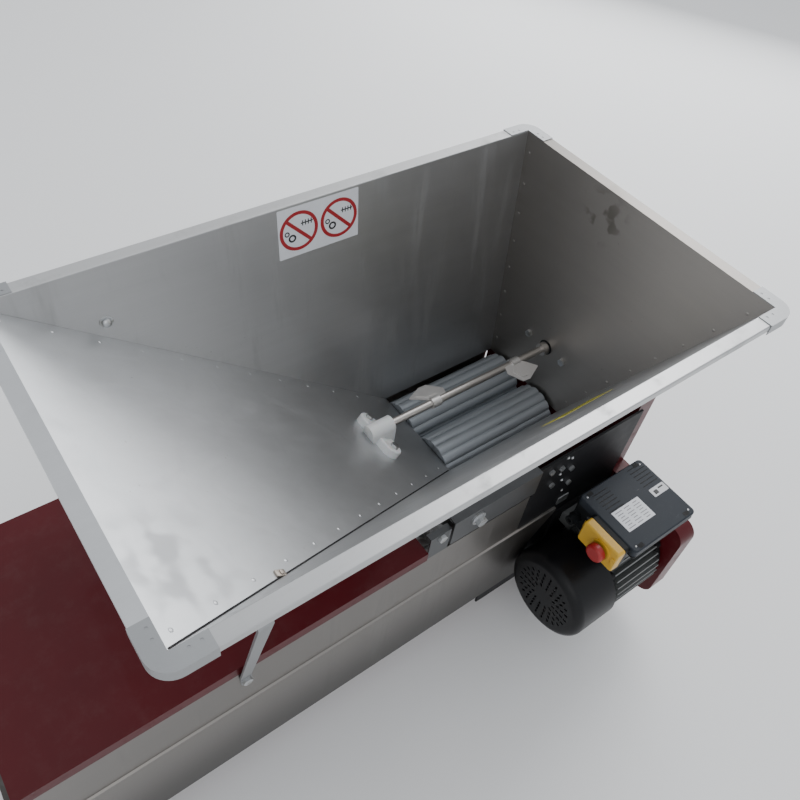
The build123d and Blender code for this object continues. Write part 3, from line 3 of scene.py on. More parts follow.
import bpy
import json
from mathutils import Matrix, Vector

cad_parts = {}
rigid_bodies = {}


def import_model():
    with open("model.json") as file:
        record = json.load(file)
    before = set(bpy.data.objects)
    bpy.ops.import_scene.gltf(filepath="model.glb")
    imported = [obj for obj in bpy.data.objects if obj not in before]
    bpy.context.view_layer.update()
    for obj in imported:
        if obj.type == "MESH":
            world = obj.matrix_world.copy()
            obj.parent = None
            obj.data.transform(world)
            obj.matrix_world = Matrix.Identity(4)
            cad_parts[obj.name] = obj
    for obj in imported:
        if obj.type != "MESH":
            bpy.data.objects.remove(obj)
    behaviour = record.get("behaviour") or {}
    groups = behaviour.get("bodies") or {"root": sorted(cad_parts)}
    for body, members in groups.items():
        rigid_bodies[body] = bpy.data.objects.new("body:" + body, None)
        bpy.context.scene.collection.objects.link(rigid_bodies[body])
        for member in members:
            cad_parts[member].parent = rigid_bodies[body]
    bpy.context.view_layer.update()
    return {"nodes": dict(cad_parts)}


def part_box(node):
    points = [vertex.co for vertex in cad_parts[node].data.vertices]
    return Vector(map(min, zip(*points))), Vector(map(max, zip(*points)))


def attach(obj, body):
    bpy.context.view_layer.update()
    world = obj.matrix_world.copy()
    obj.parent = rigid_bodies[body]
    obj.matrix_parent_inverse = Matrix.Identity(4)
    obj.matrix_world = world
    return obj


bl_info = {
    "name": "Grape Crusher Destemmer",
    "version": (1, 0, 0),
    "blender": (4, 5, 0),
    "location": "View3D > Sidebar > Crusher",
    "description": "Finishes, rivets, labels and small hardware of a grape crusher destemmer",
    "category": "Object",
}

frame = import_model()

import json
from math import cos, pi, radians, sin

import bmesh
import bpy
from bpy.props import FloatProperty, FloatVectorProperty, IntProperty, PointerProperty
from mathutils import Matrix, Vector

MM = 0.001


def low(node):
    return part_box(node)[0]


def high(node):
    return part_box(node)[1]


# ---------------- places taken from the frame

RIM_Z = high("hopper_end_panel").z
END_X = low("hopper_end_panel").x
RIM_FLANGE = high("hopper_end_panel").x - END_X
TOP_X = low("hopper_back_panel").x
THROAT_X = high("hopper_slope_panel").x
THROAT_Z = low("hopper_end_panel").z
FRONT_Y = low("hopper_front_panel").y + RIM_FLANGE
BACK_Y = high("hopper_back_panel").y - RIM_FLANGE
THROAT_FRONT_Y = high("hopper_front_panel").y
THROAT_BACK_Y = low("hopper_back_panel").y
SLOPE_TOP_Z = RIM_Z - 10 * MM

SLOPE_DOWN = Vector((THROAT_X - TOP_X, 0, THROAT_Z - SLOPE_TOP_Z)).normalized()
SLOPE_NORMAL = Vector((-SLOPE_DOWN.z, 0, SLOPE_DOWN.x))
BACK_LEAN = (BACK_Y - THROAT_BACK_Y) / (RIM_Z - THROAT_Z)
FRONT_LEAN = (THROAT_FRONT_Y - FRONT_Y) / (RIM_Z - THROAT_Z)
BACK_NORMAL = Vector((0, -1, BACK_LEAN)).normalized()
FRONT_NORMAL = Vector((0, 1, FRONT_LEAN)).normalized()


def middle(node):
    """The middle of a CAD piece's box."""
    return (low(node) + high(node)) / 2


def slope_point(x, y):
    """A point on the sloping floor's upper face."""
    rate = (THROAT_Z - SLOPE_TOP_Z) / (THROAT_X - TOP_X)
    return Vector((x, y, SLOPE_TOP_Z + (x - TOP_X) * rate))


def back_wall_y(z):
    """The back wall's inner face at a height."""
    return BACK_Y - BACK_LEAN * (RIM_Z - z)


def front_wall_y(z):
    """The front wall's inner face at a height."""
    return FRONT_Y + FRONT_LEAN * (RIM_Z - z)


# ---------------- what a user would change


COLOUR = {"subtype": "COLOR", "size": 3, "min": 0, "max": 1}
LENGTH = {"subtype": "DISTANCE", "unit": "LENGTH"}


class CrusherFinish(bpy.types.PropertyGroup):
    """Colours of the painted, moulded and bare metal surfaces."""

    steel: FloatVectorProperty(
        name="Stainless steel", description="Colour of the hopper's sheet",
        default=(0.60, 0.61, 0.62), **COLOUR,
    )
    burgundy: FloatVectorProperty(
        name="Burgundy paint", description="Paint of the covers, plates and rails",
        default=(0.080, 0.005, 0.008), **COLOUR,
    )
    roller: FloatVectorProperty(
        name="Roller aluminium", description="Colour of the fluted rollers",
        default=(0.40, 0.43, 0.46), **COLOUR,
    )
    motor: FloatVectorProperty(
        name="Motor black", description="Colour of the fan cowl and end shields",
        default=(0.005, 0.005, 0.006), **COLOUR,
    )
    lid: FloatVectorProperty(
        name="Lid slate", description="Colour of the control box lid",
        default=(0.020, 0.025, 0.033), **COLOUR,
    )
    yellow: FloatVectorProperty(
        name="Switch yellow", description="Colour of the emergency stop's flap",
        default=(0.62, 0.36, 0.03), **COLOUR,
    )
    red: FloatVectorProperty(
        name="Stop red", description="Colour of the stop button",
        default=(0.32, 0.012, 0.012), **COLOUR,
    )
    grain: FloatProperty(
        name="Rolling grain", description="Depth of the sheet's fine rolling lines",
        default=0.02 * MM, min=0, max=1 * MM, precision=6, **LENGTH,
    )


class CrusherHardware(bpy.types.PropertyGroup):
    """Sizes of the weld spots and of the wall label."""

    spot_radius: FloatProperty(
        name="Spot radius", description="Radius of a spot weld's dimple",
        default=2.8 * MM, min=1 * MM, max=10 * MM, precision=4, **LENGTH,
    )
    spot_rise: FloatProperty(
        name="Spot rise", description="Height of a spot weld's dimple",
        default=0.9 * MM, min=0, max=5 * MM, precision=4, **LENGTH,
    )
    floor_spots: IntProperty(
        name="Floor spots", description="Spots along each edge of the sloping floor",
        default=12, min=2, max=40,
    )
    seam_spots: IntProperty(
        name="Seam spots", description="Spots along each upright seam of the end wall",
        default=8, min=2, max=40,
    )
    label_width: FloatProperty(
        name="Label width", description="Width of the white label on the back wall",
        default=137 * MM, min=20 * MM, max=400 * MM, precision=4, **LENGTH,
    )
    label_height: FloatProperty(
        name="Label height", description="Height of the white label on the back wall",
        default=81 * MM, min=20 * MM, max=400 * MM, precision=4, **LENGTH,
    )
    ring_radius: FloatProperty(
        name="Ring radius", description="Outer radius of each red ring",
        default=32 * MM, min=5 * MM, max=100 * MM, precision=4, **LENGTH,
    )


# ---------------- shader maths


class Wire:
    """A socket's value in a material, so that its maths reads as an expression."""

    def __init__(self, recipe, socket):
        self.recipe = recipe
        self.socket = socket

    def maths(self, operation, first, second):
        return self.recipe.node("ShaderNodeMath", {"operation": operation}, {0: first, 1: second})

    def __add__(self, other):
        return self.maths("ADD", self, other)

    def __sub__(self, other):
        return self.maths("SUBTRACT", self, other)

    def __rsub__(self, other):
        return self.maths("SUBTRACT", other, self)

    def __mul__(self, other):
        return self.maths("MULTIPLY", self, other)

    __radd__ = __add__
    __rmul__ = __mul__

    def step(self, start, end):
        """0 below start, 1 above end and smooth between; start may be the larger."""
        settings = {"interpolation_type": "SMOOTHSTEP", "clamp": True}
        ends = {"Value": self, "From Min": start, "From Max": end, "To Min": 0, "To Max": 1}
        return self.recipe.node("ShaderNodeMapRange", settings, ends)


class Recipe:
    """A material being made: one Principled shader and the nodes that vary it."""

    def __init__(self, name):
        self.material = bpy.data.materials.new(name)
        self.material.use_nodes = True
        self.tree = self.material.node_tree
        self.shader = self.tree.nodes["Principled BSDF"]

    def node(self, kind, settings=None, inputs=None, output=0):
        """Makes a node: its settings first, then its sockets' values or links."""
        made = self.tree.nodes.new(kind)
        for key, value in (settings or {}).items():
            setattr(made, key, value)
        for key, value in (inputs or {}).items():
            self.feed(made.inputs[key], value)
        return Wire(self, made.outputs[output])

    def feed(self, socket, value):
        if isinstance(value, Wire):
            self.tree.links.new(value.socket, socket)
        elif socket.type == "RGBA" and len(value) == 3:
            socket.default_value = (*value, 1)
        else:
            socket.default_value = value

    def place(self):
        """The place in object coordinates."""
        return self.node("ShaderNodeTexCoord", output="Object")

    def vector(self, operation, first, second=(0, 0, 0), output="Vector"):
        ends = {0: first, 1: second}
        return self.node("ShaderNodeVectorMath", {"operation": operation}, ends, output)

    def part(self, axis):
        """The place along one axis, in metres."""
        return self.node("ShaderNodeSeparateXYZ", None, {0: self.place()}, "XYZ".index(axis))

    def distance(self, centre, stretch=(1, 1, 1)):
        """How far a point is from a centre, with each axis weighed."""
        moved = self.vector("SUBTRACT", self.place(), centre)
        return self.vector("LENGTH", self.vector("MULTIPLY", moved, stretch), output="Value")

    def noise(self, scale, detail=3.0, rough=0.5, stretch=(1, 1, 1), warp=0.0):
        """Noise from 0 to 1, in features per metre, stretched along the axes."""
        return self.node("ShaderNodeTexNoise", None, {
            "Vector": self.vector("MULTIPLY", self.place(), stretch), "Scale": scale,
            "Detail": detail, "Roughness": rough, "Distortion": warp,
        })

    def cells(self, scale):
        """Distance to the nearest of scattered points, in cells."""
        return self.node("ShaderNodeTexVoronoi", None, {"Vector": self.place(), "Scale": scale})

    def blend(self, factor, first, second):
        """One colour over another by a factor."""
        inputs = {0: factor, 6: first, 7: second}
        return self.node("ShaderNodeMix", {"data_type": "RGBA", "clamp_factor": True}, inputs, 2)

    def shade(self, colour, factor):
        """A colour made lighter or darker by a factor around 1."""
        colour = colour if isinstance(colour, Wire) else tuple(colour)
        scale = {"operation": "SCALE"}
        return self.node("ShaderNodeVectorMath", scale, {0: colour, "Scale": factor})

    def relief(self, *layers):
        """Bump layers, each a height from 0 to 1 and its depth in metres."""
        normal = None
        for height, depth in layers:
            inputs = {"Height": height, "Distance": depth, "Strength": 1.0}
            if normal:
                inputs["Normal"] = normal
            normal = self.node("ShaderNodeBump", None, inputs)
        return normal

    def finish(self, **sockets):
        """Feeds the shader. A name's words are joined by underscores."""
        for key, value in sockets.items():
            self.feed(self.shader.inputs[key.replace("_", " ")], value)
        return self.material


def across(axis, fine, coarse=1.0):
    """Stretch for lines that run along an axis."""
    return tuple(coarse if letter == axis else fine for letter in "XYZ")


# ---------------- bare metals


def sheet_steel(name, grain_axis, tone=1.0, warmth=0.0, rough=0.3, stains=None, painted_shade=None):
    """Cold-rolled stainless sheet: fine rolling lines, a slow waviness, cloudy handling marks, and
    where given a painted shade that darkens it along one axis.
    """
    finish = bpy.context.scene.crusher_finish
    recipe = Recipe(name)
    lines = recipe.noise(1.0, 2.0, 0.6, across(grain_axis, 1400, 9))
    streaks = recipe.noise(1.0, 3.0, 0.6, across(grain_axis, 60, 2.5))
    clouds = recipe.noise(5.0, 5.0, 0.6, warp=0.6)
    specks = recipe.cells(70.0).step(0.10, 0.05) * recipe.noise(14.0).step(0.56, 0.66)
    base = [finish.steel[0] * tone + warmth, finish.steel[1] * tone, finish.steel[2] * tone - warmth]
    colour = recipe.shade(base, 0.86 + 0.10 * lines + 0.10 * streaks + 0.12 * clouds)
    roughness = rough - 0.05 + 0.06 * lines + 0.10 * clouds + 0.04 * streaks
    # Painted shade: the sheet darkens along one axis, from the dark share to the light share.
    if painted_shade:
        axis, start, end, dark, light = painted_shade
        ramp = recipe.part(axis).step(start, end)
        colour = recipe.shade(colour, dark + (light - dark) * ramp)
    colour = recipe.blend(specks * 0.35, colour, [0.20 * tone, 0.19 * tone, 0.17 * tone])
    if stains:
        mark, tint, strength = stains(recipe)
        colour = recipe.blend(mark * strength, colour, tint)
        roughness = roughness + mark * 0.16
    normal = recipe.relief(
        (recipe.noise(2.3, 1.0), 2.2 * MM),
        (recipe.noise(9.0, 1.0), 0.16 * MM),
        (lines, finish.grain),
    )
    return recipe.finish(Base_Color=colour, Metallic=1.0, Roughness=roughness, Normal=normal)


def smudges_on_floor(recipe):
    """Dried splashes near the sloping floor's upper front corner."""
    centre = slope_point(TOP_X + 50 * MM, FRONT_Y + 96 * MM)
    near = recipe.distance(centre, (1.0, 0.85, 0.4)).step(85 * MM, 20 * MM)
    blots = recipe.noise(30.0, 1.5, 0.4, warp=0.2).step(0.42, 0.66)
    haze = recipe.noise(9.0, 4.0, 0.6, warp=0.8).step(0.50, 0.75) * 0.30
    return near * blots * 0.8 + haze, (0.33, 0.33, 0.34), 0.55


def smudges_on_end(recipe):
    """Finger marks and drops high on the end wall."""
    near = recipe.distance((END_X, FRONT_Y + 305 * MM, RIM_Z - 48 * MM)).step(60 * MM, 15 * MM)
    blots = recipe.noise(34.0, 2.0, 0.4).step(0.50, 0.60)
    return near * blots, (0.10, 0.09, 0.07), 0.6


def water_marks(recipe):
    """Faint runs down a wall."""
    runs = recipe.noise(1.0, 4.0, 0.6, (26, 26, 2.2)).step(0.52, 0.75)
    return runs, (0.33, 0.33, 0.32), 0.25


def trim_steel(name, tone=1.0, rough=0.34):
    """Folded trim: satin steel with fine scratches and dull handling marks."""
    finish = bpy.context.scene.crusher_finish
    recipe = Recipe(name)
    fine = recipe.noise(900.0, 2.0)
    clouds = recipe.noise(16.0, 4.0, 0.6)
    scratches = recipe.noise(1.0, 2.0, 0.5, (40, 500, 500)).step(0.66, 0.74)
    base = [channel * tone for channel in finish.steel]
    colour = recipe.shade(base, 0.84 + 0.10 * fine + 0.16 * clouds)
    roughness = rough + 0.12 * clouds - 0.08 * scratches
    normal = recipe.relief((clouds, 0.10 * MM), (fine, 0.012 * MM), (scratches, 0.008 * MM))
    return recipe.finish(Base_Color=colour, Metallic=1.0, Roughness=roughness, Normal=normal)


def turned_steel(name, tone, warmth=0.02, rough=0.3):
    """A turned shaft: fine rings around X and dull wear."""
    recipe = Recipe(name)
    rings = recipe.noise(1.0, 2.0, 0.5, (2600, 6, 6))
    wear = recipe.noise(40.0, 4.0, 0.6)
    base = [tone + warmth, tone, tone - warmth]
    colour = recipe.shade(base, 0.80 + 0.12 * rings + 0.22 * wear)
    normal = recipe.relief((rings, 0.012 * MM), (wear, 0.05 * MM))
    return recipe.finish(Base_Color=colour, Metallic=1.0, Roughness=rough + 0.16 * wear, Normal=normal)


def roller_metal(name, node):
    """Extruded aluminium: crests lighter than the grey valleys, dried must in the valleys."""
    finish = bpy.context.scene.crusher_finish
    recipe = Recipe(name)
    centre = middle(node)
    radius = (high(node).z - low(node).z) / 2
    reach = recipe.distance((0, centre.y, centre.z), (0, 1, 1))
    crest = reach.step(radius - 3 * MM, radius - 0.4 * MM)
    lines = recipe.noise(1.0, 3.0, 0.6, (8, 900, 900))
    smears = recipe.noise(1.0, 4.0, 0.6, (14, 60, 60))
    dried = recipe.noise(30.0, 5.0, 0.65, (0.5, 1, 1)).step(0.48, 0.68) * (1 - crest)
    colour = recipe.shade(finish.roller, 0.66 + 0.24 * crest + 0.14 * lines + 0.14 * smears)
    colour = recipe.blend(dried * 0.45, colour, (0.075, 0.065, 0.058))
    roughness = 0.50 - 0.10 * crest + 0.14 * smears + 0.2 * dried
    normal = recipe.relief((smears, 0.12 * MM), (lines, 0.02 * MM))
    return recipe.finish(Base_Color=colour, Metallic=0.55, Roughness=roughness, Normal=normal)


def cast_iron(name):
    """Cut gears and pulleys: dark iron with fine rings, small pits and an oily film."""
    recipe = Recipe(name)
    rings = recipe.noise(700.0, 2.0, 0.5)
    film = recipe.noise(38.0, 5.0, 0.6)
    pits = recipe.cells(260.0).step(0.16, 0.05)
    colour = recipe.shade((0.21, 0.20, 0.19), 0.7 + 0.35 * film + 0.15 * rings)
    colour = recipe.blend(film.step(0.58, 0.8) * 0.6, colour, (0.075, 0.045, 0.028))
    normal = recipe.relief((film, 0.15 * MM), (rings, 0.03 * MM), (pits, -0.03 * MM))
    return recipe.finish(Base_Color=colour, Metallic=0.9, Roughness=0.36 + 0.22 * film, Normal=normal)


def zinc_plate(name):
    """Zinc-plated fasteners: pale, a little blue, dulled in patches."""
    recipe = Recipe(name)
    dull = recipe.noise(90.0, 4.0, 0.6)
    fine = recipe.noise(1200.0, 2.0)
    colour = recipe.blend(dull.step(0.45, 0.75), (0.62, 0.63, 0.64), (0.36, 0.35, 0.31))
    colour = recipe.shade(colour, 0.86 + 0.2 * fine)
    normal = recipe.relief((dull, 0.06 * MM), (fine, 0.010 * MM))
    return recipe.finish(Base_Color=colour, Metallic=1.0, Roughness=0.26 + 0.25 * dull, Normal=normal)


def stacked_steel(name):
    """Laminations: thin plates stacked along X, their edges varnished."""
    recipe = Recipe(name)
    plates = recipe.node(
        "ShaderNodeTexWave", {"wave_type": "BANDS", "bands_direction": "X"},
        {"Vector": recipe.place(), "Scale": 320.0, "Distortion": 0.4, "Detail": 1.0}, 1,
    )
    varnish = recipe.noise(50.0, 4.0)
    colour = recipe.blend(varnish.step(0.4, 0.7), (0.30, 0.29, 0.28), (0.17, 0.09, 0.05))
    colour = recipe.shade(colour, 0.6 + 0.5 * plates)
    normal = recipe.relief((plates, 0.08 * MM), (varnish, 0.05 * MM))
    return recipe.finish(Base_Color=colour, Metallic=0.8, Roughness=0.35 + 0.2 * varnish, Normal=normal)


def capacitor_can(name):
    """A drawn aluminium can with a light draw texture along X."""
    recipe = Recipe(name)
    lines = recipe.noise(1.0, 2.0, 0.5, (12, 700, 700))
    clouds = recipe.noise(45.0, 4.0)
    colour = recipe.shade((0.72, 0.72, 0.71), 0.8 + 0.15 * lines + 0.15 * clouds)
    normal = recipe.relief((clouds, 0.06 * MM), (lines, 0.012 * MM))
    return recipe.finish(Base_Color=colour, Metallic=0.9, Roughness=0.3 + 0.18 * clouds, Normal=normal)


# ---------------- paints, plastics and rubber


def gloss_paint(name):
    """Burgundy stove enamel: orange peel, patches of dust, small chips."""
    finish = bpy.context.scene.crusher_finish
    recipe = Recipe(name)
    peel = recipe.noise(330.0, 2.0, 0.5)
    tone = recipe.noise(6.0, 4.0, 0.6)
    dust = recipe.noise(34.0, 6.0, 0.7).step(0.45, 0.8)
    chips = recipe.cells(30.0).step(0.075, 0.055) * recipe.noise(9.0, 2.0).step(0.60, 0.66)
    colour = recipe.shade(finish.burgundy, 0.78 + 0.42 * tone)
    colour = recipe.blend(dust * 0.10, colour, (0.16, 0.12, 0.11))
    colour = recipe.blend(chips, colour, (0.16, 0.15, 0.15))
    roughness = 0.30 + 0.10 * tone + 0.22 * dust + 0.2 * chips
    normal = recipe.relief((tone, 0.5 * MM), (peel, 0.035 * MM), (chips, -0.08 * MM))
    recipe.finish(Specular_IOR_Level=0.22)
    return recipe.finish(
        Base_Color=colour, Roughness=roughness, Normal=normal, Coat_Weight=0.10 - 0.09 * chips
    )


def satin_black(name, rough=0.42):
    """Satin black enamel on pressed steel: faint peel, slight waviness and rubbed patches."""
    finish = bpy.context.scene.crusher_finish
    recipe = Recipe(name)
    peel = recipe.noise(420.0, 2.0)
    rub = recipe.noise(24.0, 5.0, 0.65)
    colour = recipe.blend(rub.step(0.52, 0.85) * 0.5, finish.motor, (0.028, 0.027, 0.025))
    normal = recipe.relief((recipe.noise(12.0, 1.0), 0.4 * MM), (peel, 0.03 * MM))
    recipe.finish(Specular_IOR_Level=0.25)
    return recipe.finish(Base_Color=colour, Roughness=rough - 0.08 + 0.2 * rub, Normal=normal)


def fin_grey(name):
    """Die-cast aluminium fins, dull grey with dust, and painted shade between the fins that leaves
    their edges lighter.
    """
    recipe = Recipe(name)
    cast = recipe.noise(260.0, 4.0, 0.6)
    dust = recipe.noise(20.0, 5.0, 0.6)
    centre = middle("motor_shaft")
    # Painted shade: darker towards the core, between the fins; lighter at the fin edges.
    reach = recipe.distance((0, centre.y, centre.z), (0, 1, 1)).step(63 * MM, 74 * MM)
    colour = recipe.shade((0.155, 0.160, 0.158), 0.45 + 0.65 * reach + 0.25 * dust)
    normal = recipe.relief((dust, 0.15 * MM), (cast, 0.06 * MM))
    return recipe.finish(Base_Color=colour, Metallic=0.55, Roughness=0.42 + 0.2 * cast, Normal=normal)


def moulded(name, colour, rough=0.4, spark=0.02, dusty=0.1, specular=0.5):
    """A moulded plastic: spark-eroded texture, slight tone drift, dust and rubbed marks."""
    recipe = Recipe(name)
    texture = recipe.noise(1500.0, 2.0, 0.6)
    drift = recipe.noise(18.0, 4.0, 0.6)
    dust = recipe.noise(60.0, 6.0, 0.7).step(0.50, 0.85)
    marks = recipe.noise(1.0, 3.0, 0.6, (60, 700, 60)).step(0.68, 0.76)
    tinted = recipe.shade(colour, 0.86 + 0.28 * drift)
    tinted = recipe.blend(dust * dusty, tinted, (0.30, 0.28, 0.25))
    tinted = recipe.blend(marks * 0.12, tinted, (0.5, 0.48, 0.45))
    normal = recipe.relief((drift, 0.12 * MM), (texture, spark * MM))
    recipe.finish(Specular_IOR_Level=specular)
    return recipe.finish(Base_Color=tinted, Roughness=rough + 0.14 * drift + 0.1 * dust, Normal=normal)


def white_nylon(name):
    """Machined white nylon: milky, faint tool marks, grey juice film in places."""
    recipe = Recipe(name)
    film = recipe.noise(30.0, 5.0, 0.6)
    tool = recipe.noise(1.0, 2.0, 0.5, (500, 30, 500))
    colour = recipe.blend(film.step(0.50, 0.85), (0.74, 0.75, 0.75), (0.45, 0.44, 0.42))
    colour = recipe.shade(colour, 0.94 + 0.10 * tool)
    normal = recipe.relief((film, 0.2 * MM), (tool, 0.02 * MM))
    recipe.finish(Subsurface_Weight=0.12, Subsurface_Scale=6 * MM)
    return recipe.finish(Base_Color=colour, Roughness=0.36 + 0.18 * film, Normal=normal)


def black_rubber(name):
    """Rubber of belts and feet: matt, greyed by dust, with a fabric-like surface."""
    recipe = Recipe(name)
    cloth = recipe.noise(900.0, 2.0)
    dust = recipe.noise(26.0, 5.0, 0.65)
    colour = recipe.blend(dust.step(0.40, 0.8) * 0.6, (0.014, 0.014, 0.015), (0.075, 0.070, 0.064))
    normal = recipe.relief((dust, 0.15 * MM), (cloth, 0.04 * MM))
    return recipe.finish(Base_Color=colour, Roughness=0.66 + 0.2 * dust, Normal=normal)


def printed_film(name, colour, rough=0.35):
    """A printed adhesive film: flat ink with slight wear and tiny bubbles."""
    recipe = Recipe(name)
    wear = recipe.noise(55.0, 5.0, 0.7)
    bubbles = recipe.cells(160.0).step(0.2, 0.0) * recipe.noise(30.0).step(0.55, 0.62)
    tinted = recipe.shade(colour, 0.88 + 0.2 * wear)
    tinted = recipe.blend(wear.step(0.68, 0.85) * 0.3, tinted, (0.42, 0.41, 0.39))
    normal = recipe.relief((wear, 0.03 * MM), (bubbles, 0.05 * MM))
    return recipe.finish(Base_Color=tinted, Roughness=rough + 0.15 * wear, Normal=normal)


class Palette:
    """The object's finishes, made once and looked up by name."""

    made = {}

    @classmethod
    def get(cls, name):
        return cls.made[name]

    @classmethod
    def fill(cls):
        finish = bpy.context.scene.crusher_finish
        skirt_foot = low("front_skirt").z
        # Painted shade: the back wall darker towards the end wall, the skirt darker at its foot, the
        # end wall darker towards the back.
        painted_shade_to_the_end = ("X", TOP_X + 30 * MM, END_X - 90 * MM, 1.0, 0.80)
        painted_shade_at_the_foot = ("Z", skirt_foot, skirt_foot + 190 * MM, 0.38, 1.0)
        painted_shade_at_the_back = ("Y", BACK_Y - 10 * MM, BACK_Y - 330 * MM, 0.72, 1.12)
        recipes = {
            "floor_steel": (sheet_steel, "X", 1.0, 0.0, 0.36, smudges_on_floor),
            "back_steel": (sheet_steel, "X", 0.92, 0.010, 0.42, water_marks, painted_shade_to_the_end),
            # Painted shade: the end wall's sheet is a darker copy of the hopper steel.
            "end_steel": (sheet_steel, "Y", 0.60, 0.030, 0.42, smudges_on_end, painted_shade_at_the_back),
            "front_steel": (sheet_steel, "X", 0.86, 0.006, 0.34, water_marks),
            # Painted shade: the skirts and stem chute take a much darker copy of the sheet for the
            # shadow under the hopper.
            "skirt_steel": (sheet_steel, "X", 0.40, 0.020, 0.34, water_marks, painted_shade_at_the_foot),
            "grid_steel": (sheet_steel, "X", 0.62, 0.008, 0.38, water_marks),
            "trim_steel": (trim_steel, 0.66, 0.36),
            "strut_steel": (trim_steel, 0.62, 0.40),
            # Painted shade: the rails take a much darker copy of the trim steel.
            "rail_steel": (trim_steel, 0.26, 0.40),
            "clip_steel": (turned_steel, 0.40, 0.05, 0.36),
            "paddle_steel": (turned_steel, 0.68, 0.015, 0.42),
            "shaft_steel": (turned_steel, 0.50, 0.025, 0.30),
            "motor_shaft_steel": (turned_steel, 0.46, 0.005, 0.28),
            "back_roller_metal": (roller_metal, "roller_back"),
            "front_roller_metal": (roller_metal, "roller_front"),
            "cast_iron": (cast_iron,),
            "zinc_plate": (zinc_plate,),
            "stacked_steel": (stacked_steel,),
            "capacitor_can": (capacitor_can,),
            "burgundy": (gloss_paint,),
            "cowl_black": (satin_black, 0.36),
            # The end shields' black; also painted shade on the drive side plate and the motor plate.
            "shield_black": (satin_black, 0.5),
            "fin_grey": (fin_grey,),
            "box_black": (moulded, (0.007, 0.008, 0.009), 0.44, 0.03, 0.04, 0.25),
            "lid_slate": (moulded, finish.lid, 0.42, 0.03, 0.05, 0.25),
            # Painted shade in the vent grooves, the screw pockets and the shaft's hole; also the dark
            # seam along the floor.
            "vent_dark": (moulded, (0.006, 0.006, 0.007), 0.7, 0.03, 0.25),
            "switch_yellow": (moulded, finish.yellow, 0.30, 0.012, 0.10),
            "stop_red": (moulded, finish.red, 0.26, 0.008, 0.06),
            "start_green": (moulded, (0.02, 0.22, 0.06), 0.30, 0.010, 0.06),
            "white_nylon": (white_nylon,),
            "black_rubber": (black_rubber,),
            "film_white": (printed_film, (0.72, 0.73, 0.76)),
            "film_silver": (printed_film, (0.62, 0.62, 0.64), 0.3),
            "film_yellow": (printed_film, (0.66, 0.60, 0.06)),
            "ink_red": (printed_film, (0.36, 0.015, 0.022)),
            "ink_black": (printed_film, (0.015, 0.015, 0.016)),
            "ink_grey": (printed_film, (0.20, 0.20, 0.22)),
        }
        cls.made = {name: maker(name, *settings) for name, (maker, *settings) in recipes.items()}


# The finish of each CAD piece.
NODE_FINISH = {
    "floor_steel": ["hopper_slope_panel"],
    "back_steel": ["hopper_back_panel"],
    "end_steel": ["hopper_end_panel"],
    "front_steel": ["hopper_front_panel"],
    "skirt_steel": ["front_skirt", "back_skirt", "stem_chute"],
    "grid_steel": ["destemming_grid"],
    "trim_steel": ["rim_corner_caps"],
    "strut_steel": ["hopper_struts"],
    "rail_steel": ["crusher_rails"],
    "paddle_steel": ["feeder_paddles", "beater_paddles"],
    "shaft_steel": [
        "feeder_shaft", "feeder_collar", "roller_back_shaft", "roller_front_shaft", "beater_shaft",
    ],
    "motor_shaft_steel": ["motor_shaft"],
    "back_roller_metal": ["roller_back"],
    "front_roller_metal": ["roller_front"],
    "cast_iron": [
        "roller_back_gear", "roller_front_gear", "reduction_gear", "beater_pinion", "motor_pulley",
        "beater_pulley", "roller_pulley", "feeder_pulley", "beater_bearings",
    ],
    "zinc_plate": ["bolts_and_screws"],
    "stacked_steel": ["motor_stator", "motor_rotor"],
    "capacitor_can": ["run_capacitor"],
    "burgundy": [
        "top_cover", "stem_end_plate", "drive_plate", "belt_guard", "base_rails", "crusher_plate",
    ],
    "cowl_black": ["fan_cowl"],
    # Painted shade: the drive side plate and the motor plate take the black finish for the shadow under
    # the hopper's rim.
    "shield_black": ["motor_end_shields", "drive_side_plate", "motor_plate"],
    "fin_grey": ["motor_frame"],
    "box_black": ["control_box_base", "switch_housing", "motor_fan", "cable_gland"],
    "lid_slate": ["control_box_lid"],
    "switch_yellow": ["switch_flap"],
    "stop_red": ["stop_mushroom", "off_button"],
    "start_green": ["start_button"],
    "white_nylon": ["feeder_slope_bearing", "feeder_end_bearing", "roller_bushes"],
    "black_rubber": ["drive_belt", "feeder_belt", "rubber_feet"],
}


# ---------------- making pieces

SHARP_FROM = radians(30)
OFF_WALL = 0.02 * MM
FILM = 0.25 * MM
INK = 0.15 * MM
THIN_INK = 0.12 * MM


def facing(origin, normal, along):
    """A placing matrix: its z is the normal and its x is as near as can be to along."""
    z = Vector(normal).normalized()
    x = (Vector(along) - Vector(along).dot(z) * z).normalized()
    y = z.cross(x)
    turn = Matrix((x, y, z)).transposed().to_4x4()
    return Matrix.Translation(Vector(origin)) @ turn


def link_piece(name, mesh, finish, body="root"):
    """Links a mesh as a piece that rides a body and takes a finish from the palette."""
    mesh.name = name
    if not mesh.materials:
        mesh.materials.append(Palette.get(finish))
    piece = bpy.data.objects.new(name, mesh)
    bpy.context.scene.collection.objects.link(piece)
    for polygon in mesh.polygons:
        polygon.use_smooth = True
    mesh.set_sharp_from_angle(angle=SHARP_FROM)
    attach(piece, body)


def solid_piece(name, parts, finish, body="root"):
    """Links several bmeshes as one piece."""
    link_piece(name, joined(parts), finish, body)


def card_piece(name, width, height, corner, place, finish):
    """A printed card with round corners, one film thick."""
    outline = rounded_rectangle(width, height, corner)
    solid_piece(name, [outline_solid(outline, FILM, place)], finish)


def grown_piece(name, tree, points, values, finish, body="root"):
    """Links what a Geometry Nodes tree makes on some points as one piece."""
    values = {**values, "Material": Palette.get(finish)}
    link_piece(name, tree.bake(points, values), finish, body)


def shifted(place, x=0.0, y=0.0, z=0.0):
    """A placing matrix moved along its own axes."""
    return place @ Matrix.Translation((x, y, z))


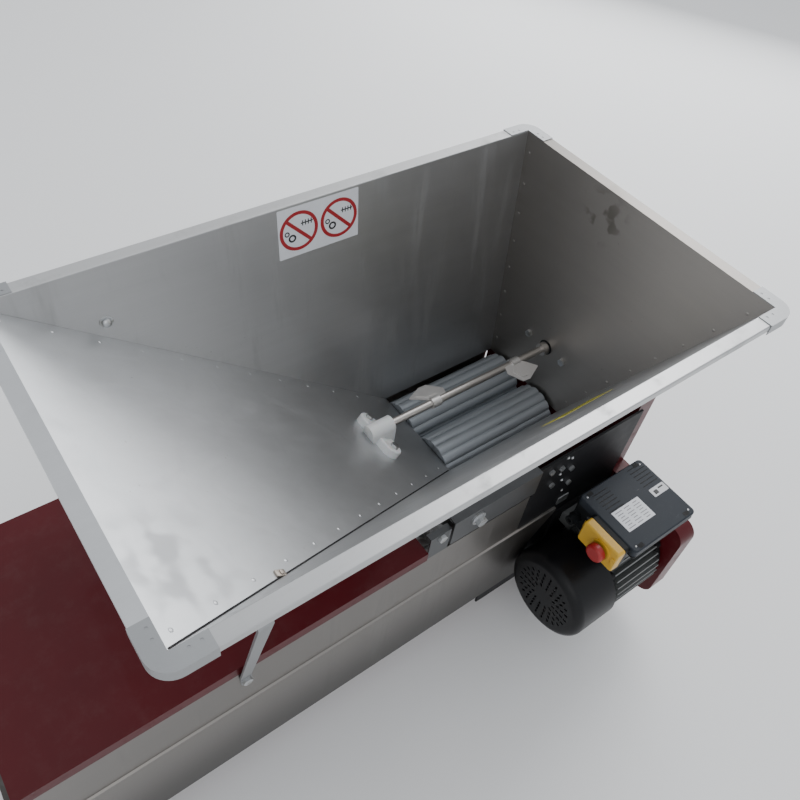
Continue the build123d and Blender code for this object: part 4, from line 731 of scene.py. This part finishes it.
def outline_solid(points, height, place, bevel=0.0):
    """A flat closed outline raised to a height and set on a placing matrix."""
    mesh = bmesh.new()
    base = [mesh.verts.new((x, y, 0)) for x, y in points]
    face = mesh.faces.new(base)
    raised = bmesh.ops.extrude_face_region(mesh, geom=[face])
    top = [item for item in raised["geom"] if isinstance(item, bmesh.types.BMVert)]
    bmesh.ops.translate(mesh, vec=(0, 0, height), verts=top)
    if bevel:
        rim = [edge for edge in mesh.edges if all(vert in top for vert in edge.verts)]
        bmesh.ops.bevel(mesh, geom=rim, offset=bevel, segments=2, affect="EDGES", profile=0.6)
    bmesh.ops.recalc_face_normals(mesh, faces=mesh.faces)
    mesh.transform(place)
    return mesh


def joined(parts):
    """Several bmeshes as one mesh."""
    whole = bmesh.new()
    for part in parts:
        mesh = bpy.data.meshes.new("part")
        part.to_mesh(mesh)
        part.free()
        whole.from_mesh(mesh)
        bpy.data.meshes.remove(mesh)
    mesh = bpy.data.meshes.new("joined")
    whole.to_mesh(mesh)
    whole.free()
    return mesh


def rounded_rectangle(width, height, radius, steps=5):
    """The outline of a rectangle with round corners, about its middle."""
    points = []
    for corner, (sign_x, sign_y) in enumerate(((1, 1), (-1, 1), (-1, -1), (1, -1))):
        for step in range(steps + 1):
            turn = pi / 2 * (corner + step / steps)
            points.append((
                sign_x * (width / 2 - radius) + radius * cos(turn),
                sign_y * (height / 2 - radius) + radius * sin(turn),
            ))
    return points


def disc(radius, steps):
    """A circle's outline."""
    turns = [2 * pi * step / steps for step in range(steps)]
    return [(radius * cos(turn), radius * sin(turn)) for turn in turns]


def ring_solid(outer, inner, height, place, steps=64):
    """A flat ring with square edges."""
    mesh = bmesh.new()
    loops = []
    for radius, z in ((inner, 0), (outer, 0), (outer, height), (inner, height)):
        loops.append([mesh.verts.new((x, y, z)) for x, y in disc(radius, steps)])
    for first, second in zip(loops, loops[1:] + loops[:1]):
        for step in range(steps):
            after = (step + 1) % steps
            mesh.faces.new((first[step], first[after], second[after], second[step]))
    bmesh.ops.recalc_face_normals(mesh, faces=mesh.faces)
    mesh.transform(place)
    return mesh


# ---------------- geometry nodes


class Growth:
    """A Geometry Nodes tree under construction, with named inputs for its sizes."""

    def __init__(self, name, inputs):
        self.tree = bpy.data.node_groups.new(name, "GeometryNodeTree")
        self.socket("Geometry", "INPUT", "Geometry")
        self.socket("Geometry", "OUTPUT", "Geometry")
        self.ids = {}
        for label, kind in inputs.items():
            self.ids[label] = self.socket(label, "INPUT", kind).identifier
        self.given = self.tree.nodes.new("NodeGroupInput")

    def socket(self, label, way, kind):
        kind = "NodeSocket" + kind
        return self.tree.interface.new_socket(label, in_out=way, socket_type=kind)

    def node(self, kind, settings=None, inputs=None, output=0):
        """Makes a node: its settings first, then its sockets' values or links."""
        made = self.tree.nodes.new(kind)
        for key, value in (settings or {}).items():
            setattr(made, key, value)
        for key, value in (inputs or {}).items():
            if isinstance(value, bpy.types.NodeSocket):
                self.tree.links.new(value, made.inputs[key])
            else:
                made.inputs[key].default_value = value
        return made.outputs[output]

    def close(self, geometry):
        """Realises the instances, sets the material and ends the tree."""
        solid = self.node("GeometryNodeRealizeInstances", None, {0: geometry})
        inputs = {"Geometry": solid, "Material": self.given.outputs["Material"]}
        coated = self.node("GeometryNodeSetMaterial", None, inputs)
        self.tree.links.new(coated, self.tree.nodes.new("NodeGroupOutput").inputs[0])
        return self

    def bake(self, points, values):
        """Grows the tree on a mesh of points and gives the result as a plain mesh."""
        seed = bpy.data.meshes.new("points")
        seed.from_pydata([tuple(point) for point in points], [], [])
        holder = bpy.data.objects.new("holder", seed)
        bpy.context.scene.collection.objects.link(holder)
        modifier = holder.modifiers.new("growth", "NODES")
        modifier.node_group = self.tree
        for label, value in values.items():
            modifier[self.ids[label]] = value
        graph = bpy.context.evaluated_depsgraph_get()
        mesh = bpy.data.meshes.new_from_object(holder.evaluated_get(graph), depsgraph=graph)
        holder.modifiers.remove(modifier)
        bpy.data.objects.remove(holder)
        bpy.data.meshes.remove(seed)
        return mesh


def set_on_points(growth, shape):
    """Stands a shape on every point, its z along the tree's Normal input."""
    turn = growth.node(
        "FunctionNodeAlignRotationToVector", {"axis": "Z"}, {"Vector": growth.given.outputs["Normal"]}
    )
    inputs = {"Points": growth.given.outputs["Geometry"], "Instance": shape, "Rotation": turn}
    return growth.node("GeometryNodeInstanceOnPoints", None, inputs)


def spot_tree():
    """Low round dimples standing on points."""
    growth = Growth("weld_spots", {
        "Radius": "Float", "Rise": "Float", "Normal": "Vector", "Material": "Material",
    })
    given = growth.given.outputs
    ball = growth.node("GeometryNodeMeshUVSphere", None, {"Segments": 12, "Rings": 8, "Radius": 1.0})
    size = growth.node("ShaderNodeCombineXYZ", None, {
        0: given["Radius"], 1: given["Radius"], 2: given["Rise"],
    })
    dome = growth.node("GeometryNodeTransform", None, {"Geometry": ball, "Scale": size})
    return growth.close(set_on_points(growth, dome))


def screw_tree():
    """Pan-head screws with a washer and a cross-shaped recess, standing on points."""
    growth = Growth("pan_screws", {
        "Radius": "Float", "Washer": "Float", "Normal": "Vector", "Material": "Material",
    })
    given = growth.given.outputs

    def in_radii(vector):
        inputs = {0: vector, "Scale": given["Radius"]}
        return growth.node("ShaderNodeVectorMath", {"operation": "SCALE"}, inputs)

    head = growth.node("GeometryNodeMeshUVSphere", None, {"Segments": 20, "Rings": 10, "Radius": 1.0})
    pan = growth.node("GeometryNodeTransform", None, {
        "Geometry": head, "Scale": in_radii((1, 1, 0.6)), "Translation": in_radii((0, 0, 0.45)),
    })
    cutters = growth.node("GeometryNodeJoinGeometry")
    for turn in (0.0, pi / 2):
        bar = growth.node("GeometryNodeMeshCube", None, {"Size": in_radii((1.1, 0.22, 0.7))})
        placed = growth.node("GeometryNodeTransform", None, {
            "Geometry": bar, "Translation": in_radii((0, 0, 1.15)), "Rotation": (0, 0, turn),
        })
        growth.tree.links.new(placed, cutters.node.inputs[0])
    recessed = growth.node(
        "GeometryNodeMeshBoolean", {"operation": "DIFFERENCE"}, {"Mesh 1": pan, "Mesh 2": cutters}
    )
    thickness = growth.node(
        "ShaderNodeMath", {"operation": "MULTIPLY"}, {0: given["Washer"], 1: 0.16}
    )
    washer = growth.node("GeometryNodeMeshCylinder", None, {
        "Vertices": 28, "Radius": given["Washer"], "Depth": thickness,
    })
    both = growth.node("GeometryNodeJoinGeometry")
    for shape in (recessed, washer):
        growth.tree.links.new(shape, both.node.inputs[0])
    return growth.close(set_on_points(growth, both))


def screw_piece(name, tree, rows, radius, washer):
    """Zinc screws. Each row is an outward normal and the points that its screws stand on."""
    zinc = Palette.get("zinc_plate")
    parts = []
    for normal, points in rows:
        values = {"Radius": radius, "Washer": washer, "Normal": normal, "Material": zinc}
        baked = tree.bake(points, values)
        part = bmesh.new()
        part.from_mesh(baked)
        bpy.data.meshes.remove(baked)
        parts.append(part)
    solid_piece(name, parts, "zinc_plate")


def groove_tree():
    """Long narrow bars, one set on each point."""
    growth = Growth("vent_bars", {"Size": "Vector", "Material": "Material"})
    bar = growth.node("GeometryNodeMeshCube", None, {"Size": growth.given.outputs["Size"]})
    inputs = {"Points": growth.given.outputs["Geometry"], "Instance": bar}
    return growth.close(growth.node("GeometryNodeInstanceOnPoints", None, inputs))


def line_of(start, end, count):
    """Evenly spaced points from start to end."""
    start, end = Vector(start), Vector(end)
    return [start.lerp(end, step / (count - 1)) for step in range(count)]


# ---------------- operators


class CRUSHER_OT_finishes(bpy.types.Operator):
    """Give every CAD piece its finish"""

    bl_idname = "crusher.finishes"
    bl_label = "Finish the frame"

    def execute(self, context):
        Palette.fill()
        for finish, nodes in NODE_FINISH.items():
            for node in nodes:
                piece = frame["nodes"][node]
                piece.data.materials.clear()
                piece.data.materials.append(Palette.get(finish))
        left = set(frame["nodes"]) - {node for nodes in NODE_FINISH.values() for node in nodes}
        if left:
            raise RuntimeError(f"no finish for {sorted(left)}")
        return {"FINISHED"}


class CRUSHER_OT_spots(bpy.types.Operator):
    """Spot welds along the hopper's seams"""

    bl_idname = "crusher.spots"
    bl_label = "Weld spots"

    def execute(self, context):
        sizes = context.scene.crusher_hardware
        from_wall, from_end, from_throat = 15 * MM, 12 * MM, 26 * MM
        from_corner = 10 * MM
        top, bottom = RIM_Z - 34 * MM, THROAT_Z + 40 * MM
        floor, ends = [], []
        for wall_y, side in ((front_wall_y, 1), (back_wall_y, -1)):
            first = slope_point(TOP_X + from_end, 0)
            last = slope_point(THROAT_X - from_throat, 0)
            first.y = wall_y(first.z) + side * from_wall
            last.y = wall_y(last.z) + side * from_wall
            floor += line_of(first, last, sizes.floor_spots)
            first = (END_X, wall_y(top) + side * from_corner, top)
            last = (END_X, wall_y(bottom) + side * from_corner, bottom)
            ends += line_of(first, last, sizes.seam_spots)
        tree = spot_tree()
        for name, points, normal, finish in (
            ("floor_spots", floor, SLOPE_NORMAL, "floor_steel"),
            ("end_wall_spots", ends, Vector((-1, 0, 0)), "end_steel"),
        ):
            values = {"Radius": sizes.spot_radius, "Rise": sizes.spot_rise, "Normal": normal}
            grown_piece(name, tree, points, values, finish)
        return {"FINISHED"}


class CRUSHER_OT_screws(bpy.types.Operator):
    """Screws of the back wall, the control box lid, the fan cowl and the side plate"""

    bl_idname = "crusher.screws"
    bl_label = "Screws"

    def execute(self, context):
        tree = screw_tree()
        self.wall_screw(tree)
        self.lid_screws(tree)
        self.cowl_screws(tree)
        self.side_screws(tree)
        return {"FINISHED"}

    def wall_screw(self, tree):
        z = RIM_Z - 85 * MM
        off_wall = 0.6 * MM
        seat = (TOP_X + 132 * MM, back_wall_y(z) - off_wall, z)
        screw_piece("wall_screw", tree, [(BACK_NORMAL, [seat])], 6.5 * MM, 9.5 * MM)

    def lid_screws(self, tree):
        lid_low, lid_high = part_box("control_box_lid")
        inset, sunk = 10 * MM, 1.2 * MM
        seats = [
            (x, y, lid_high.z - sunk)
            for x in (lid_low.x + inset, lid_high.x - inset)
            for y in (lid_low.y + inset, lid_high.y - inset)
        ]
        screw_piece("lid_screws", tree, [((0, 0, 1), seats)], 2.0 * MM, 2.3 * MM)

    def cowl_screws(self, tree):
        centre = middle("motor_shaft")
        centre.x = high("fan_cowl").x - 9 * MM
        seat_radius = (high("fan_cowl").z - low("fan_cowl").z) / 2 - 0.2 * MM
        rows = []
        for degrees in (90, 215, 325):
            out = Vector((0, cos(radians(degrees)), sin(radians(degrees))))
            rows.append((out, [centre + out * seat_radius]))
        screw_piece("cowl_screws", tree, rows, 3.2 * MM, 4.6 * MM)

    def side_screws(self, tree):
        """A scatter of small screws on the side plate, which is black as painted shade."""
        face_y = low("drive_side_plate").y
        seats = [
            (END_X - from_end * MM, face_y, RIM_Z - drop * MM)
            for from_end, drop in ((172, 330), (160, 338), (176, 372), (163, 398), (148, 440))
        ]
        screw_piece("side_screws", tree, [((0, -1, 0), seats)], 2.2 * MM, 3.4 * MM)


class CRUSHER_OT_seals(bpy.types.Operator):
    """The dark seam strip in the hopper, the black ring of painted shade in the shaft's hole, the clip
    at the floor's edge and the side bracket
    """

    bl_idname = "crusher.seals"
    bl_label = "Seals and clips"

    def execute(self, context):
        self.floor_seal()
        self.shaft_hole_shade()
        self.edge_clip()
        self.side_bracket()
        return {"FINISHED"}

    def floor_seal(self):
        """The dark gap where the sloping floor meets the front wall."""
        width, height = 1.8 * MM, 0.5 * MM
        start = slope_point(TOP_X + 2 * MM, 0)
        end = slope_point(THROAT_X - 4 * MM, 0)
        for point in (start, end):
            point.y = front_wall_y(point.z) + 1.2 * MM
        run = end - start
        strip = rounded_rectangle(run.length, width, 0.4 * MM, 1)
        seal = outline_solid(strip, height, facing(start + run / 2, SLOPE_NORMAL, run))
        solid_piece("floor_seal", [seal], "vent_dark")

    def shaft_hole_shade(self):
        """A black ring around the feeder shaft on the end wall: painted shade of the shaft's hole."""
        radius, height, clearance, off_wall = 15 * MM, 0.7 * MM, 0.5 * MM, 0.1 * MM
        centre = middle("feeder_shaft")
        bore = (high("feeder_shaft").z - low("feeder_shaft").z) / 2 + clearance
        place = facing((END_X - off_wall, centre.y, centre.z), (-1, 0, 0), (0, 1, 0))
        seal = ring_solid(radius, bore, height, place)
        solid_piece("shaft_hole_shade", [seal], "vent_dark")

    def edge_clip(self):
        """A folded clip that holds the sloping floor to the front wall."""
        seat = slope_point(TOP_X + 147 * MM, 0)
        seat.y = front_wall_y(seat.z) + 5 * MM
        place = facing(seat, SLOPE_NORMAL, SLOPE_DOWN)
        strap = rounded_rectangle(15 * MM, 9 * MM, 1.5 * MM, 4)
        crown = rounded_rectangle(6 * MM, 6 * MM, 1.2 * MM, 3)
        parts = [
            outline_solid(strap, 2.6 * MM, place, 0.7 * MM),
            outline_solid(crown, 4.2 * MM, shifted(place, 1.5 * MM), 0.8 * MM),
        ]
        solid_piece("edge_clip", parts, "clip_steel")

    def side_bracket(self):
        """A small bright bracket low on the side plate, which is black as painted shade."""
        seat = (END_X - 134 * MM, low("drive_side_plate").y, 324 * MM)
        place = facing(seat, (0, -1, 0), (1, 0, 0))
        plate = outline_solid(rounded_rectangle(26 * MM, 20 * MM, 2 * MM), 2 * MM, place, 0.4 * MM)
        solid_piece("side_bracket", [plate], "trim_steel")


class CRUSHER_OT_wall_label(bpy.types.Operator):
    """The white label with two red rings on the back wall"""

    bl_idname = "crusher.wall_label"
    bl_label = "Wall label"

    def execute(self, context):
        sizes = context.scene.crusher_hardware
        from_end, below_rim = 392 * MM, 4 * MM
        x = TOP_X + from_end + sizes.label_width / 2
        z = RIM_Z - below_rim - sizes.label_height / 2
        seat = Vector((x, back_wall_y(z), z)) + BACK_NORMAL * OFF_WALL
        place = facing(seat, BACK_NORMAL, (1, 0, 0))
        width, height = sizes.label_width, sizes.label_height
        card_piece("wall_label", width, height, 1.5 * MM, place, "film_white")
        red, black = [], []
        for side in (-1, 1):
            centre = shifted(place, side * sizes.label_width / 4, 0, FILM)
            red += self.barred_ring(centre, sizes.ring_radius)
            black += self.rollers_and_comb(centre, sizes.ring_radius)
        solid_piece("wall_label_rings", red, "ink_red")
        solid_piece("wall_label_marks", black, "ink_black")
        return {"FINISHED"}

    def barred_ring(self, place, radius):
        """A red ring with a bar across it."""
        band = 0.17 * radius
        bar = rounded_rectangle(2 * radius - band, band, 0.1 * MM, 1)
        return [
            ring_solid(radius, radius - band, INK, place),
            outline_solid(bar, INK * 1.2, place @ Matrix.Rotation(-pi / 4, 4, "Z")),
        ]

    def rollers_and_comb(self, place, radius):
        """Two small rings and a comb of four teeth, in shares of the ring's radius."""
        parts = []
        for x, y, size in ((-0.36, -0.30, 0.20), (-0.62, -0.02, 0.13)):
            at = shifted(place, x * radius, y * radius)
            parts.append(ring_solid(size * radius, 0.55 * size * radius, INK, at, steps=24))
        for step in range(4):
            tooth = rounded_rectangle(0.05 * radius, 0.26 * radius, 0.1 * MM, 1)
            at = shifted(place, (0.20 + 0.15 * step) * radius, 0.34 * radius)
            parts.append(outline_solid(tooth, INK, at))
        beam = rounded_rectangle(0.62 * radius, 0.06 * radius, 0.1 * MM, 1)
        parts.append(outline_solid(beam, INK * 0.9, shifted(place, 0.42 * radius, 0.34 * radius)))
        return parts


class CRUSHER_OT_front_label(bpy.types.Operator):
    """The yellow label low on the front wall"""

    bl_idname = "crusher.front_label"
    bl_label = "Front wall label"

    def execute(self, context):
        centre = Vector((END_X - 176 * MM, 0, RIM_Z - 222 * MM))
        centre.y = front_wall_y(centre.z)
        place = facing(centre + FRONT_NORMAL * OFF_WALL, FRONT_NORMAL, (-1, 0, 0))
        width, height = 110 * MM, 60 * MM
        card_piece("front_label", width, height, 2 * MM, place, "film_yellow")
        bars = []
        for row in range(4):
            length = (88 - 14 * (row % 2)) * MM
            bar = rounded_rectangle(length, 4 * MM, 0.6 * MM, 2)
            bars.append(outline_solid(bar, INK, shifted(place, 0, (21 - 14 * row) * MM, FILM)))
        solid_piece("front_label_bars", bars, "ink_black")
        return {"FINISHED"}


class CRUSHER_OT_lid_details(bpy.types.Operator):
    """Vent grooves and screw pockets drawn as painted shade, labels and seam of the control box lid"""

    bl_idname = "crusher.lid_details"
    bl_label = "Lid details"

    def execute(self, context):
        lid_low, lid_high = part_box("control_box_lid")
        self.vents(lid_low, lid_high)
        self.rating_label(lid_low, lid_high)
        self.badge(lid_high)
        self.pockets(lid_low, lid_high)
        self.seam(lid_low, lid_high)
        return {"FINISHED"}

    def vents(self, lid_low, lid_high):
        """Two rows of dark bars: painted shade in the vent grooves."""
        count, run = 6, 39 * MM
        points = []
        for x, from_back in ((lid_low.x + 37 * MM, 14 * MM), (lid_high.x - 24 * MM, 9 * MM)):
            y = lid_high.y - from_back
            points += line_of((x, y, lid_high.z), (x, y - run, lid_high.z), count)
        values = {"Size": (36 * MM, 1.7 * MM, 0.3 * MM)}
        grown_piece("lid_vents", groove_tree(), points, values, "vent_dark")

    def rating_label(self, lid_low, lid_high):
        """A pale card with three columns of short bars."""
        seat = (lid_low.x + 54 * MM, lid_high.y - 77 * MM, lid_high.z)
        place = facing(seat, (0, 0, 1), (1, 0, 0))
        width, height = 66 * MM, 43 * MM
        card_piece("rating_label", width, height, 1 * MM, place, "film_white")
        bars = []
        for row in range(7):
            for column in range(3):
                length = (16 - 3 * ((row + column) % 3)) * MM
                bar = rounded_rectangle(length, 1.4 * MM, 0.3 * MM, 1)
                at = shifted(place, (20 * column - 20) * MM, (16.5 - 5.5 * row) * MM, FILM)
                bars.append(outline_solid(bar, THIN_INK, at))
        solid_piece("rating_label_bars", bars, "ink_grey")

    def badge(self, lid_high):
        """A small silver card with two dark marks."""
        seat = (lid_high.x - 22 * MM, lid_high.y - 66 * MM, lid_high.z)
        place = facing(seat, (0, 0, 1), (1, 0, 0))
        width, height = 36 * MM, 17 * MM
        card_piece("lid_badge", width, height, 2 * MM, place, "film_silver")
        square = rounded_rectangle(9 * MM, 8 * MM, 1 * MM)
        strip = rounded_rectangle(12 * MM, 3 * MM, 0.6 * MM)
        marks = [
            outline_solid(square, THIN_INK, shifted(place, -8 * MM, -1 * MM, FILM)),
            outline_solid(strip, THIN_INK, shifted(place, 7 * MM, 3 * MM, FILM)),
        ]
        solid_piece("lid_badge_marks", marks, "ink_black")

    def pockets(self, lid_low, lid_high):
        """Dark patches beside the corner screws: painted shade in the screw pockets."""
        from_end, from_side = 19 * MM, 7 * MM
        parts = []
        for x in (lid_low.x + from_end, lid_high.x - from_end):
            for y in (lid_low.y + from_side, lid_high.y - from_side):
                place = facing((x, y, lid_high.z), (0, 0, 1), (1, 0, 0))
                pocket = rounded_rectangle(12 * MM, 8 * MM, 1.5 * MM)
                parts.append(outline_solid(pocket, 0.2 * MM, place))
        solid_piece("lid_pockets", parts, "vent_dark")

    def seam(self, lid_low, lid_high):
        """The bright metal edge between the lid and the box."""
        inset, height, drop = 0.6 * MM, 1.3 * MM, 1.4 * MM
        centre = (lid_low + lid_high) / 2
        centre.z = lid_low.z - drop
        outline = rounded_rectangle(
            lid_high.x - lid_low.x - inset, lid_high.y - lid_low.y - inset, 8 * MM
        )
        plate = outline_solid(outline, height, Matrix.Translation(centre), 0.3 * MM)
        solid_piece("lid_seam", [plate], "zinc_plate")


class CRUSHER_OT_switch_details(bpy.types.Operator):
    """Finger ridges, a raised collar and a latch on the stop switch's flap"""

    bl_idname = "crusher.switch_details"
    bl_label = "Switch details"

    def execute(self, context):
        flap_low, flap_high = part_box("switch_flap")
        x, z = flap_low.x + 7 * MM, flap_high.z - 0.3 * MM
        ridges = line_of((x, flap_low.y + 6 * MM, z), (x, flap_low.y + 72 * MM, z), 12)
        values = {"Size": (7 * MM, 1.6 * MM, 0.9 * MM)}
        tree = groove_tree()
        grown_piece("flap_ridges", tree, ridges, values, "switch_yellow", "flap")
        knob = middle("stop_mushroom")
        place = facing((flap_low.x, knob.y, knob.z), (-1, 0, 0), (0, -1, 0))
        latch = rounded_rectangle(9 * MM, 20 * MM, 2 * MM)
        parts = [
            ring_solid(20.5 * MM, 17.5 * MM, 1.4 * MM, place),
            outline_solid(latch, 1.6 * MM, shifted(place, 29 * MM), 0.4 * MM),
        ]
        solid_piece("flap_collar", parts, "switch_yellow", "flap")
        return {"FINISHED"}


class CRUSHER_OT_stage(bpy.types.Operator):
    """A pale floor, soft studio light and the camera"""

    bl_idname = "crusher.stage"
    bl_label = "Stage"

    def execute(self, context):
        self.floor()
        self.sky(context)
        self.lights()
        self.camera(context)
        return {"FINISHED"}

    def floor(self):
        mesh = bpy.data.meshes.new("studio_floor")
        half = 14.0
        corners = [(-half, -half, 0), (half, -half, 0), (half, half, 0), (-half, half, 0)]
        mesh.from_pydata(corners, [], [(0, 1, 2, 3)])
        recipe = Recipe("studio_floor")
        tone = recipe.noise(1.5, 4.0)
        colour = recipe.shade((0.86, 0.86, 0.86), 0.98 + 0.03 * tone)
        mesh.materials.append(recipe.finish(Base_Color=colour, Roughness=0.75))
        floor = bpy.data.objects.new("studio_floor", mesh)
        bpy.context.scene.collection.objects.link(floor)

    def sky(self, context):
        world = bpy.data.worlds.new("studio")
        world.use_nodes = True
        background = world.node_tree.nodes["Background"].inputs
        background["Color"].default_value = (0.93, 0.96, 1.0, 1)
        background["Strength"].default_value = 0.95
        context.scene.world = world

    def lights(self):
        """Area lights, each with its direction, distance, width, depth, power and colour."""
        target = Vector((0.1, 0.0, 0.5))
        for name, direction, distance, width, depth, power, colour in (
            ("window", (0.86, 0.50, 0.22), 3.4, 3.4, 1.7, 62, (0.97, 0.985, 1.0)),
            ("overhead", (0.62, 0.27, 0.74), 3.2, 1.4, 1.2, 30, (1.0, 1.0, 1.0)),
            ("fill", (-0.55, -0.75, 0.75), 3.6, 2.6, 2.0, 16, (1.0, 0.99, 0.97)),
        ):
            data = bpy.data.lights.new(name, "AREA")
            data.shape = "RECTANGLE"
            data.size = width
            data.size_y = depth
            data.energy = power
            data.color = colour
            light = bpy.data.objects.new(name, data)
            light.location = target + Vector(direction).normalized() * distance
            light.rotation_euler = (light.location - target).to_track_quat("Z", "Y").to_euler()
            bpy.context.scene.collection.objects.link(light)

    def camera(self, context):
        place = (-0.388, -0.5166, 1.4448)
        heading, below_level, roll = radians(42.63), radians(48.30), radians(8.92)
        data = bpy.data.cameras.new("camera")
        data.sensor_width = 36.0
        data.lens = 34.82
        camera = bpy.data.objects.new("camera", data)
        camera.matrix_world = (
            Matrix.Translation(place)
            @ Matrix.Rotation(-heading, 4, "Z")
            @ Matrix.Rotation(pi / 2 - below_level, 4, "X")
            @ Matrix.Rotation(roll, 4, "Z")
        )
        context.scene.collection.objects.link(camera)
        context.scene.camera = camera


class CRUSHER_PT_panel(bpy.types.Panel):
    """Lists the crusher's pieces, sizes and colours"""

    bl_idname = "CRUSHER_PT_panel"
    bl_label = "Grape Crusher Destemmer"
    bl_space_type = "VIEW_3D"
    bl_region_type = "UI"
    bl_category = "Crusher"

    def draw(self, context):
        layout = self.layout
        for operator in STAGES:
            layout.operator(operator.bl_idname)
        for group in (context.scene.crusher_finish, context.scene.crusher_hardware):
            box = layout.box()
            for name in group.bl_rna.properties.keys():
                if name not in ("rna_type", "name"):
                    box.prop(group, name)


STAGES = (
    CRUSHER_OT_finishes,
    CRUSHER_OT_spots,
    CRUSHER_OT_screws,
    CRUSHER_OT_seals,
    CRUSHER_OT_wall_label,
    CRUSHER_OT_front_label,
    CRUSHER_OT_lid_details,
    CRUSHER_OT_switch_details,
    CRUSHER_OT_stage,
)
CLASSES = (CrusherFinish, CrusherHardware, *STAGES, CRUSHER_PT_panel)


def register():
    for item in CLASSES:
        bpy.utils.register_class(item)
    bpy.types.Scene.crusher_finish = PointerProperty(type=CrusherFinish)
    bpy.types.Scene.crusher_hardware = PointerProperty(type=CrusherHardware)


def unregister():
    del bpy.types.Scene.crusher_hardware
    del bpy.types.Scene.crusher_finish
    for item in reversed(CLASSES):
        bpy.utils.unregister_class(item)


def main():
    register()
    bpy.ops.crusher.finishes()
    bpy.ops.crusher.spots()
    bpy.ops.crusher.screws()
    bpy.ops.crusher.seals()
    bpy.ops.crusher.wall_label()
    bpy.ops.crusher.front_label()
    bpy.ops.crusher.lid_details()
    bpy.ops.crusher.switch_details()
    bpy.ops.crusher.stage()


if __name__ == "__main__":
    main()
